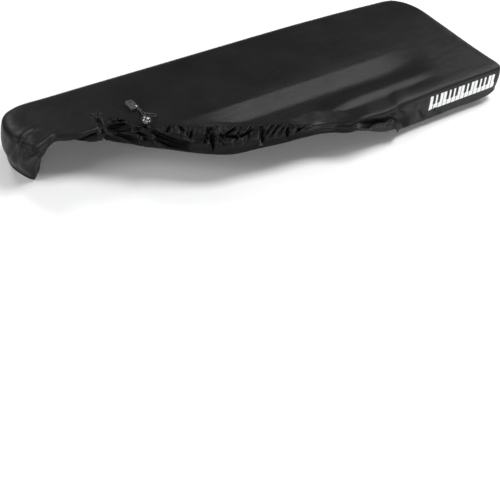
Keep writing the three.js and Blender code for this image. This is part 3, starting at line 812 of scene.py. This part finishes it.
def cloth_of(name, grid):
    points, faces, index, kept = merged(grid)
    places = tuple(np.array(kept).T)
    hem_distance = from_hem(grid)[places]
    casing = 1 - smooth(hem_distance, CASING - CASING_EDGE, CASING)
    half = (THICKNESS + (HEM_THICKNESS - THICKNESS) * casing)[:, None] / 2 * point_normals(points, faces)
    count = len(points)
    under = [tuple(i + count for i in reversed(face)) for face in faces]
    rim = [(a, b, b + count, a + count) for a, b in zip(index[:, -1], np.roll(index[:, -1], -1))]
    uv = np.tile(spoke_uv(grid)[places] * MM, (2, 1))
    piece = new_mesh(name, np.concatenate([points + half, points - half]), faces + under + rim, uv)
    point_value(piece, "from_hem", hem_distance * MM)
    point_value(piece, "along_hem", arc_along(grid[:, HEM_ROW])[places[0]] * MM)
    point_value(piece, "gathered", (turned_over * smooth(share, 0.1, 0.5))[places])
    return piece, np.repeat([0, 1, 0], [len(faces), len(under), len(rim)])


cover, cover_sides = cloth_of("cover", sheet)
cloth_area = sum(polygon.area for polygon in cover.data.polygons) / 2
cover.data.calc_loop_triangles()
print("cover:", len(cover.data.loop_triangles), "triangles,", round(cloth_area, 3), "square metres")

# %% [markdown]
# A finish is a small network of nodes. The class below holds one material, and each of its methods adds one
# node and hands back its output, so a pattern reads like a sum: lines of weave, a mask for a band, the
# outline of a print.

# %% A helper for the finishes
class Finish:
    """One material and the nodes that make its look."""

    def __init__(self, name, roughness, metallic=0.0, specular=0.5):
        self.material = bpy.data.materials.new(name)
        self.material.use_nodes = True
        self.tree = self.material.node_tree
        self.shader = self.tree.nodes["Principled BSDF"]
        self.shader.inputs["Roughness"].default_value = roughness
        self.shader.inputs["Metallic"].default_value = metallic
        self.shader.inputs["Specular IOR Level"].default_value = specular

    def feed(self, socket, value):
        if isinstance(value, bpy.types.NodeSocket):
            self.tree.links.new(value, socket)
        else:
            socket.default_value = value

    def add(self, kind, inputs, **settings):
        """Adds a node, sets it up, feeds its inputs and hands back its outputs."""
        node = self.tree.nodes.new("ShaderNode" + kind)
        for name, value in settings.items():
            setattr(node, name, value)
        for name, value in inputs.items():
            self.feed(node.inputs[name], value)
        return node.outputs

    def math(self, operation, *values):
        return self.add("Math", dict(enumerate(values)), operation=operation)[0]

    def product(self, first, *others):
        for value in others:
            first = self.math("MULTIPLY", first, value)
        return first

    def either(self, first, second):
        return self.math("MAXIMUM", first, second)

    def above(self, value, limit):
        """1 where the value is above the limit, and 0 elsewhere."""
        return self.math("GREATER_THAN", value, limit)

    def below(self, value, limit):
        return self.math("LESS_THAN", value, limit)

    def on_line(self, value, centre, width):
        """1 on a line at the given value, and 0 outside its width."""
        return self.math("COMPARE", value, centre, width)

    def ramp(self, value, low, high, start=0.0, end=1.0):
        """The value from low to high, stretched to run from start to end and held there."""
        limits = {"From Min": low, "From Max": high, "To Min": start, "To Max": end}
        return self.add("MapRange", {"Value": value, **limits})["Result"]

    def colours(self, share, first, second):
        """A mix of two colours, or of a colour and another node's output."""
        a, b = ((*colour, 1) if isinstance(colour, tuple) else colour for colour in (first, second))
        return self.add("Mix", {"Factor": share, "A": a, "B": b}, data_type="RGBA")["Result"]

    def place(self):
        return self.add("TexCoord", {})["Object"]

    def weave(self):
        return self.add("UVMap", {}, uv_map="weave")["UV"]

    def value_of(self, attribute):
        return self.add("Attribute", {}, attribute_name=attribute)["Fac"]

    def stretched(self, place, scale, turn=0.0):
        return self.add("Mapping", {"Vector": place, "Scale": scale, "Rotation": (0, 0, turn)})["Vector"]

    def noise(self, place, scale, detail=3.0):
        return self.add("TexNoise", {"Vector": place, "Scale": scale, "Detail": detail})["Fac"]

    def threads(self, place, pitch, direction):
        """Parallel threads, from 0 between them to 1 on their crests."""
        scale = math.pi / (10 * pitch)
        return self.add("TexWave", {"Vector": place, "Scale": scale}, bands_direction=direction)["Fac"]

    def bump(self, height, depth, strength, under=None):
        inputs = {"Height": height, "Distance": depth, "Strength": strength}
        return self.add("Bump", inputs if under is None else {**inputs, "Normal": under})["Normal"]

    def dress(self, piece, colour, roughness=None, relief=None):
        """Connects colour, roughness and relief to the shader and puts the finish on the piece."""
        for name, value in (("Base Color", colour), ("Roughness", roughness), ("Normal", relief)):
            if value is not None:
                self.feed(self.shader.inputs[name], value)
        piece.data.materials.append(self.material)
        print(self.material.name, "has", len(self.tree.nodes), "nodes")


# %% [markdown]
# The cloth is a black stretch knit with a soft sheen outside and a duller inner side, so it has two
# finishes that share their weave. Its threads follow the weave map, fine crinkles lie in the gathered
# skirt, and two rows of stitches close the casing of the hem. On the front hangs a print in white: a row of
# keys, drawn with sums on the place.

# %% Weave and stitches of both sides
STITCH_PITCH = 0.0032
STITCH_LINES = (0.0085, 0.0105)  # how far the rows of stitches lie from the hem
STITCH_WIDTH = 0.0006
THREAD_PITCH = 0.0008


def cloth_side(name, roughness, specular, sheen, crinkle):
    """A side of the cloth without its colour: threads, crinkles and the stitches of the hem, in relief."""
    side = Finish(name, roughness, specular=specular)
    side.shader.inputs["Sheen Weight"].default_value = sheen
    side.shader.inputs["Sheen Roughness"].default_value = 0.4
    weave = side.weave()
    from_edge = side.value_of("from_hem")
    along = side.math("PINGPONG", side.value_of("along_hem"), STITCH_PITCH / 2)
    rows_of_stitches = [side.on_line(from_edge, line, STITCH_WIDTH) for line in STITCH_LINES]
    dash = side.above(along, STITCH_PITCH / 4)
    stitches = side.product(side.either(*rows_of_stitches), dash)
    threads = side.product(*(side.threads(weave, THREAD_PITCH, direction) for direction in "XY"))
    crinkles = side.product(
        side.noise(weave, 260.0), side.ramp(side.value_of("gathered"), 0.0, 1.0, 0.12, 1.0)
    )
    ripples = side.noise(side.stretched(weave, (22, 60, 60), 0.35), 1.0)
    relief = side.bump(ripples, 0.0022, 0.35)
    relief = side.bump(crinkles, 0.0011, crinkle, relief)
    relief = side.bump(threads, 0.00008, 0.35, relief)
    return side, stitches, side.bump(stitches, 0.0004, 0.8, relief)


# %% The outer side, with a print of keys
KEYS_FROM = 0.338
KEYS_TO = 0.556
KEYS_LOW = -0.056
KEYS_HIGH = -0.019
KEYS_FRONT = -0.18
KEYS_COUNT = 15
OCTAVE = 7.0
NO_RAISED_KEY = (0.0, 3.0)  # the seams of an octave that have no raised key
RAISED_HALF = 0.3  # half the width of a raised key, as a share of a key
RAISED_LOW = 0.38  # and where it ends, as a share of a key's length
GAP_HALF = 0.06
BORDER = 0.05

knit, stitches, relief = cloth_side("stretch_cloth", 0.45, 0.22, 0.015, 0.5)
place = knit.place()
x, y, z = knit.add("SeparateXYZ", {0: place})
key_place = knit.ramp(x, KEYS_FROM, KEYS_TO, 0.0, float(KEYS_COUNT))
seam_number = knit.math("ROUND", key_place)
to_seam = knit.math("ABSOLUTE", knit.math("SUBTRACT", key_place, seam_number))
in_octave = knit.math("MODULO", seam_number, OCTAVE)
no_raised_key = knit.either(*(knit.on_line(in_octave, seam, 0.1) for seam in NO_RAISED_KEY))
raised_key = knit.product(
    knit.below(to_seam, RAISED_HALF),
    knit.above(z, KEYS_LOW + RAISED_LOW * (KEYS_HIGH - KEYS_LOW)),
    knit.math("SUBTRACT", 1.0, no_raised_key),
)
plate = knit.product(
    knit.above(key_place, BORDER),
    knit.below(key_place, KEYS_COUNT - BORDER),
    knit.above(z, KEYS_LOW),
    knit.below(z, KEYS_HIGH),
    knit.below(y, KEYS_FRONT),
)
dark = knit.either(knit.below(to_seam, GAP_HALF), raised_key)
printed = knit.product(plate, knit.math("SUBTRACT", 1.0, dark))
patches = knit.noise(place, 9.0, 4.0)
streaks = knit.noise(knit.stretched(place, (6, 30, 30)), 1.0)
dye = knit.colours(knit.ramp(patches, 0.35, 0.65), (0.0034, 0.0034, 0.0037), (0.0056, 0.0055, 0.006))
dye = knit.colours(knit.ramp(streaks, 0.55, 0.8, 0.0, 0.5), dye, (0.009, 0.009, 0.0095))
dye = knit.colours(stitches, dye, (0.02, 0.02, 0.021))
dye = knit.colours(printed, dye, (0.8, 0.8, 0.8))
knit.dress(cover, dye, knit.ramp(patches, 0.3, 0.7, 0.41, 0.49), relief)

# %% The inner side
knit, stitches, relief = cloth_side("cloth_inner_side", 0.42, 0.17, 0.0, 0.8)
patches = knit.noise(knit.place(), 14.0, 4.0)
dye = knit.colours(knit.ramp(patches, 0.35, 0.65), (0.0016, 0.0016, 0.0017), (0.0028, 0.0028, 0.003))
dye = knit.colours(stitches, dye, (0.025, 0.025, 0.026))
knit.dress(cover, dye, knit.ramp(patches, 0.3, 0.7, 0.38, 0.47), relief)
cover.data.polygons.foreach_set("material_index", cover_sides)

# %% Braided cord
braid = Finish("braided_cord", 0.62, specular=0.4)
around, along, _ = braid.add("SeparateXYZ", {0: braid.weave()})
climb = braid.math("MULTIPLY", along, 1 / (BRAID_PITCH * MM))
crests = [
    braid.math("COSINE", braid.math("MULTIPLY", braid.math(way, around, climb), 2 * math.pi * BRAID_THREADS))
    for way in ("ADD", "SUBTRACT")
]
crest = braid.ramp(braid.either(*crests), -0.4, 1.0)
worn = braid.ramp(braid.noise(braid.place(), 400.0), 0.4, 0.7)
# The yarn is painted darker in the grooves between the threads than on their crests: painted shade.
yarn_with_painted_shade = braid.colours(crest, (0.008, 0.008, 0.0085), (0.05, 0.05, 0.052))
yarn_with_painted_shade = braid.colours(braid.product(worn, 0.3), yarn_with_painted_shade, (0.075, 0.075, 0.078))
fibres = braid.bump(braid.noise(braid.stretched(braid.place(), (4000, 4000, 4000)), 1.0, 2.0), 0.0001, 0.4)
relief = braid.bump(crest, 0.0002, 0.7, fibres)
fuzz = braid.ramp(worn, 0.0, 1.0, 0.55, 0.75)
for piece, _, _ in strands.values():
    braid.dress(piece, yarn_with_painted_shade, fuzz, relief)

# %% [markdown]
# The lock is a small glossy ball with a bore through it, a push button on its side and a parting line round
# its middle. It starts as a sphere: its two poles are cut off, the open rings are drawn in and bridged,
# which makes the bore, and the edges of the mouth are rounded.

# %% Helpers for shaping by hand
def start_piece(name):
    """The primitive that was just added, in edit mode."""
    piece = bpy.context.object
    piece.name = piece.data.name = name
    bpy.ops.object.mode_set(mode="EDIT")
    bpy.ops.mesh.select_mode(type="VERT")
    return piece


def pick(piece, kind, wanted):
    """Selects the faces, edges or vertices that are wanted, and nothing else."""
    bpy.ops.mesh.select_mode(type={"faces": "FACE", "edges": "EDGE", "verts": "VERT"}[kind])
    bpy.ops.mesh.select_all(action="DESELECT")
    shape = bmesh.from_edit_mesh(piece.data)
    for part in getattr(shape, kind):
        if wanted(part):
            part.select_set(True)
    shape.select_flush_mode()
    bmesh.update_edit_mesh(piece.data)


def edge_middle(edge):
    return (edge.verts[0].co + edge.verts[1].co) / 2


def place_piece(piece, matrix, angle=35):
    """Ends edit mode and puts the shape where it belongs, with the object left at the origin."""
    bpy.ops.mesh.select_all(action="SELECT")
    bpy.ops.mesh.normals_make_consistent(inside=False)
    bpy.ops.object.mode_set(mode="OBJECT")
    bpy.ops.object.shade_smooth_by_angle(angle=math.radians(angle))
    piece.matrix_world = matrix
    bpy.ops.object.transform_apply(location=True, rotation=True, scale=True)
    print(piece.name, "has", len(piece.data.polygons), "faces")


# %% Shape the lock
RADIUS = LOCK_RADIUS * MM
MOUTH = 4.2 * MM
BORE = 3.4 * MM
MOUTH_STEPS = ((0.93, 0.05), (0.87, -0.1), (BORE / MOUTH / 0.93 / 0.87, -0.45))  # size and move of each ring
PARTING_WIDTH = 0.35 * MM
PARTING_SIZE = 0.975
BUTTON_SIDE = Vector((-0.23, -0.35, 0.91))
BUTTON_ANGLE = math.radians(20)
BUTTON_STEPS = ((0.4, -0.3), (0.7, -1.1))  # width and depth of each inset
ON_MIDDLE = 1e-5
mouth_height = math.sqrt(RADIUS ** 2 - MOUTH ** 2)

bpy.ops.object.select_all(action="DESELECT")
bpy.ops.mesh.primitive_uv_sphere_add(segments=56, ring_count=36, radius=RADIUS, location=(0, 0, 0))
lock = start_piece("lock_ball")
for side in (1, -1):
    bpy.ops.mesh.select_all(action="SELECT")
    bpy.ops.mesh.bisect(plane_co=(0, 0, side * mouth_height), plane_no=(0, 0, side), clear_outer=True)
    for size, step in MOUTH_STEPS:
        pick(lock, "edges", lambda e: e.is_boundary and side * edge_middle(e).z > 0)
        bpy.ops.mesh.extrude_edges_move()
        bpy.ops.transform.resize(value=(size, size, 1))
        bpy.ops.transform.translate(value=(0, 0, side * step * MM))
pick(lock, "edges", lambda e: e.is_boundary)
bpy.ops.mesh.bridge_edge_loops()
pick(lock, "edges", lambda e: abs(edge_middle(e).z) < ON_MIDDLE and edge_middle(e).xy.length > 0.9 * RADIUS)
bpy.ops.mesh.bevel(offset=PARTING_WIDTH, segments=2, affect="EDGES")
pick(lock, "verts", lambda v: abs(v.co.z) < ON_MIDDLE and v.co.xy.length > 0.9 * RADIUS)
bpy.ops.transform.resize(value=(PARTING_SIZE, PARTING_SIZE, 1))
upright = Vector((0, 0, 1)).rotation_difference(Vector(BORE_AXIS)).to_matrix().to_4x4()
button = upright.inverted() @ BUTTON_SIDE
pick(lock, "faces", lambda f: f.calc_center_median().normalized().dot(button) > math.cos(BUTTON_ANGLE))
for width, depth in BUTTON_STEPS:
    bpy.ops.mesh.inset(thickness=width * MM, depth=depth * MM)
place_piece(lock, Matrix.Translation(Vector(LOCK_CENTRE) * MM) @ upright)

# %% [markdown]
# The flat end piece keeps the cord from slipping back through the lock. It is a moulded tag with a raised
# border, a slot to hook a finger in, and a notch in one corner, where a crimped metal ferrule holds both
# strands.

# %% Shape the end piece
END_LENGTH = 31
END_WIDTH = 20
END_HEIGHT = 5
END_ROUND = 6
NOTCH_WIDTH = 7.4
NOTCH_LENGTH = 8
SLOT_HALF = 3.2  # from the middle of the slot to the centre of its round end
SLOT_ROUND = 1.6
SLOT_FROM_END = 6.5
TAG_BORDER = 1.7
PANEL_DEPTH = 0.9
PAD_MARGIN = 0.5  # a low pad stands in the middle of the sunk panel
PAD_HEIGHT = 0.25
EDGE_ROUND = 0.45
CUT_DEPTH = 20
CUT_MARGIN = 1  # the cutter of the notch reaches past the edge of the tag
ALONG_Z = 0.9  # the share of a direction that points up or down
END_AT = (-306.5, 74)

END_PLACE = Vector((*END_AT, top_height(*END_AT) + CLOTH / 2 + SEAT)) * MM
fitting = Matrix.Translation(END_PLACE) @ Matrix.Rotation(math.atan(TOP_SLOPE), 4, "X")


def block(name, size, centre):
    bpy.ops.object.select_all(action="DESELECT")
    bpy.ops.mesh.primitive_cube_add(size=1, location=Vector(centre) * MM, scale=Vector(size) * MM)
    bpy.ops.object.transform_apply(location=True, rotation=True, scale=True)
    return start_piece(name)


def upright_edge(edge):
    return abs((edge.verts[0].co - edge.verts[1].co).normalized().z) > ALONG_Z


def apply_modifier(piece, kind, **settings):
    modifier = piece.modifiers.new(kind.lower(), kind)
    for name, value in settings.items():
        setattr(modifier, name, value)
    bpy.ops.object.modifier_apply(modifier=modifier.name)


def cut_away(piece, cutter):
    bpy.ops.object.mode_set(mode="OBJECT")
    bpy.ops.object.select_all(action="DESELECT")
    piece.select_set(True)
    bpy.context.view_layer.objects.active = piece
    apply_modifier(piece, "BOOLEAN", operation="DIFFERENCE", object=cutter, solver="EXACT")
    bpy.data.objects.remove(cutter)


tag = block("end_tag", (END_WIDTH, END_LENGTH, END_HEIGHT), (0, 0, END_HEIGHT / 2))
pick(tag, "edges", lambda e: upright_edge(e) and edge_middle(e).y > 0)
bpy.ops.mesh.bevel(offset=END_ROUND * MM, segments=8, affect="EDGES")
pick(tag, "faces", lambda f: f.normal.z > ALONG_Z)
bpy.ops.mesh.inset(thickness=TAG_BORDER * MM)
bpy.ops.mesh.extrude_region_move(TRANSFORM_OT_translate={"value": (0, 0, -PANEL_DEPTH * MM)})
bpy.ops.mesh.inset(thickness=PAD_MARGIN * MM, depth=PAD_HEIGHT * MM)
bpy.ops.object.mode_set(mode="OBJECT")

notch_size = (NOTCH_WIDTH + 2 * CUT_MARGIN, NOTCH_LENGTH + 2 * CUT_MARGIN, CUT_DEPTH)
notch_x = END_WIDTH / 2 - NOTCH_WIDTH / 2 + CUT_MARGIN
notch_y = -END_LENGTH / 2 + NOTCH_LENGTH / 2 - CUT_MARGIN
cut_away(tag, block("notch", notch_size, (notch_x, notch_y, 0)))

slot_size = (2 * (SLOT_HALF + SLOT_ROUND), 2 * SLOT_ROUND, CUT_DEPTH)
slot = block("slot", slot_size, (0, END_LENGTH / 2 - SLOT_FROM_END, 0))
pick(slot, "edges", upright_edge)
bpy.ops.mesh.bevel(offset=0.99 * SLOT_ROUND * MM, segments=6, affect="EDGES")
cut_away(tag, slot)

apply_modifier(
    tag, "BEVEL", width=EDGE_ROUND * MM, segments=3, limit_method="ANGLE", angle_limit=math.radians(50)
)
bpy.ops.object.mode_set(mode="EDIT")
place_piece(tag, fitting, 40)

# %% Shape the ferrule
FERRULE_RADIUS = 3.2
FERRULE_LENGTH = 7.4
CRIMP_PLACE = 1.7  # from the middle to either crimp
CRIMP_CUTS = (-2.3, -1.9, -1.5, -1.1, 1.1, 1.5, 1.9, 2.3)
CRIMP_SIZE = 0.88
CRIMP_REACH = 0.3
TUBE_WALL = 0.7
TUBE_DISH = 0.86  # how far out the middle of either end lies, as a share of the end
TUBE_ROUND = 0.3
TUBE_LIFT = 0.2

bpy.ops.object.select_all(action="DESELECT")
bpy.ops.mesh.primitive_cylinder_add(vertices=48, radius=FERRULE_RADIUS * MM, depth=FERRULE_LENGTH * MM)
ferrule = start_piece("ferrule")
pick(ferrule, "faces", lambda f: abs(f.normal.z) > ALONG_Z)
bpy.ops.mesh.inset(thickness=TUBE_WALL * MM)
bpy.ops.transform.resize(value=(1, 1, TUBE_DISH))
for height in CRIMP_CUTS:
    bpy.ops.mesh.select_all(action="SELECT")
    bpy.ops.mesh.bisect(plane_co=(0, 0, height * MM), plane_no=(0, 0, 1))
pick(ferrule, "verts", lambda v: abs(abs(v.co.z) - CRIMP_PLACE * MM) < CRIMP_REACH * MM)
bpy.ops.transform.resize(value=(CRIMP_SIZE, CRIMP_SIZE, 1))
pick(ferrule, "edges", lambda e: abs(edge_middle(e).z) > 0.49 * FERRULE_LENGTH * MM)
bpy.ops.mesh.bevel(offset=TUBE_ROUND * MM, segments=3, affect="EDGES")
ferrule_place = Vector((
    END_WIDTH / 2 - FERRULE_RADIUS - SEAT,
    -END_LENGTH / 2 + NOTCH_LENGTH - SEAT - FERRULE_LENGTH / 2,
    FERRULE_RADIUS + TUBE_LIFT,
)) * MM
lying = Matrix.Rotation(math.radians(90), 4, "X")
place_piece(ferrule, fitting @ Matrix.Translation(ferrule_place) @ lying, 40)

# %% [markdown]
# Three small finishes: dark chromed plastic on the ball, worn satin plastic on the tag and nickel on the
# ferrule. Each has fine scratches or grain in its roughness, because an even gloss is the first thing that
# gives a model away.

# %% Finishes of the small parts
chrome = Finish("smoked_chrome", 0.2, metallic=0.9)
smears = chrome.noise(chrome.place(), 300.0)
scratches = chrome.noise(chrome.stretched(chrome.place(), (300, 3000, 900)), 1.0, 2.0)
chrome.dress(
    lock,
    chrome.colours(smears, (0.12, 0.12, 0.123), (0.19, 0.19, 0.195)),
    chrome.ramp(smears, 0.3, 0.7, 0.16, 0.27),
    chrome.bump(scratches, 0.00003, 0.1),
)

satin = Finish("satin_plastic", 0.38)
satin.shader.inputs["Coat Weight"].default_value = 0.15
wear = satin.noise(satin.place(), 220.0, 4.0)
grain = satin.noise(satin.place(), 2600.0, 2.0)
satin.dress(
    tag,
    satin.colours(satin.ramp(wear, 0.4, 0.7), (0.045, 0.045, 0.047), (0.075, 0.075, 0.078)),
    satin.ramp(wear, 0.3, 0.7, 0.3, 0.46),
    satin.bump(grain, 0.0001, 0.3),
)

nickel = Finish("nickel", 0.22, metallic=1.0)
tarnish = nickel.noise(nickel.place(), 500.0)
nickel.dress(
    ferrule,
    nickel.colours(tarnish, (0.4, 0.39, 0.38), (0.62, 0.62, 0.61)),
    nickel.ramp(tarnish, 0.3, 0.7, 0.16, 0.34),
    nickel.bump(nickel.noise(nickel.place(), 1800.0, 2.0), 0.00005, 0.3),
)

# %% [markdown]
# Each piece is parented to an empty for the root body, and the solid of the imported model that it stands
# for is hidden. The table also names the finish of the record for each piece, which the loop doesn't use.

PIECES = (
    (cover, "cover_cloth", "cloth"),
    (lock, "cord_lock", "lock"),
    (tag, "cord_end", "end_piece"),
    (ferrule, "cord_ferrule", "metal"),
    (strands["strand_a"][0], "drawcord_a", "cord"),
    (strands["strand_b"][0], "drawcord_b", "cord"),
)
for piece, node, slot in PIECES:
    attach(piece, "root")
    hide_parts(node)
print(len(PIECES), "pieces stand for the solids")

# %% [markdown]
# The floor is a wide pale surface right under the cover. A large soft light high on the right rakes over
# the folds of the top, weaker ones fill the front and the sides, a low one reaches under the rim to the
# front wall, and one behind the left end lightens it. A pale sky keeps the shadows open. A black cloth
# shows its shape by what it reflects, so the places of the lights matter more than their strength.

# %% Lay the floor
FLOOR_GAP = 0.0006
FLOOR_SIZE = 30
floor_height = cad_box[0].z - FLOOR_GAP
bpy.ops.object.select_all(action="DESELECT")
bpy.ops.mesh.primitive_plane_add(size=FLOOR_SIZE, location=(0, 0, floor_height))
floor = bpy.context.object
floor.name = "floor"
paint = Finish("pale_floor", 0.7)
floor_paint = paint.colours(paint.noise(paint.place(), 3.0, 2.0), (0.95, 0.95, 0.95), (0.98, 0.98, 0.98))
paint.dress(floor, floor_paint)
floor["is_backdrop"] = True
print("floor at", round(floor_height / MM, 1), "mm")

# %% Set the lights
SKY_COLOUR = (0.95, 0.97, 1, 1)
SKY_STRENGTH = 0.14
LIGHTS = (  # name, place, what it points at, size in metres and power in watts
    ("overhead", (1.1, -0.4, 2.2), (0, 0, 0), (1.2, 1.2), 50),
    ("front", (-1.2, -2.6, 1.1), (0, 0, 0), (2.2, 1.2), 25),
    ("left", (-2.6, 0.3, 1.3), (0, 0, 0), (1.2, 1.2), 28),
    ("back", (-0.45, 1.9, 1.6), (-0.5, 0.1, 0), (0.6, 0.6), 14),
    ("low", (1.7, -2.2, 0.35), (0.2, 0, 0), (1.2, 0.7), 16),
    ("right", (2.4, 0.5, 1.3), (0, 0, 0), (0.9, 0.9), 12),
)

world = bpy.data.worlds.new("studio")
bpy.context.scene.world = world
world.use_nodes = True
sky = world.node_tree.nodes["Background"]
sky.inputs["Color"].default_value = SKY_COLOUR
sky.inputs["Strength"].default_value = SKY_STRENGTH
for name, place, target, size, watts in LIGHTS:
    data = bpy.data.lights.new(name, "AREA")
    data.shape = "RECTANGLE"
    data.size, data.size_y = size
    data.energy = watts
    light = bpy.data.objects.new(name, data)
    light.location = place
    light.rotation_euler = (Vector(target) - Vector(place)).to_track_quat("-Z", "Y").to_euler()
    bpy.context.scene.collection.objects.link(light)
print(len(LIGHTS), "soft lights and a sky")

# %% Write the sizes and finish
visual_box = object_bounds()
grown = [round((visual_box[i][k] - cad_box[i][k]) / MM, 1) for i in (0, 1) for k in range(3)]
print("grown by, in mm:", grown)
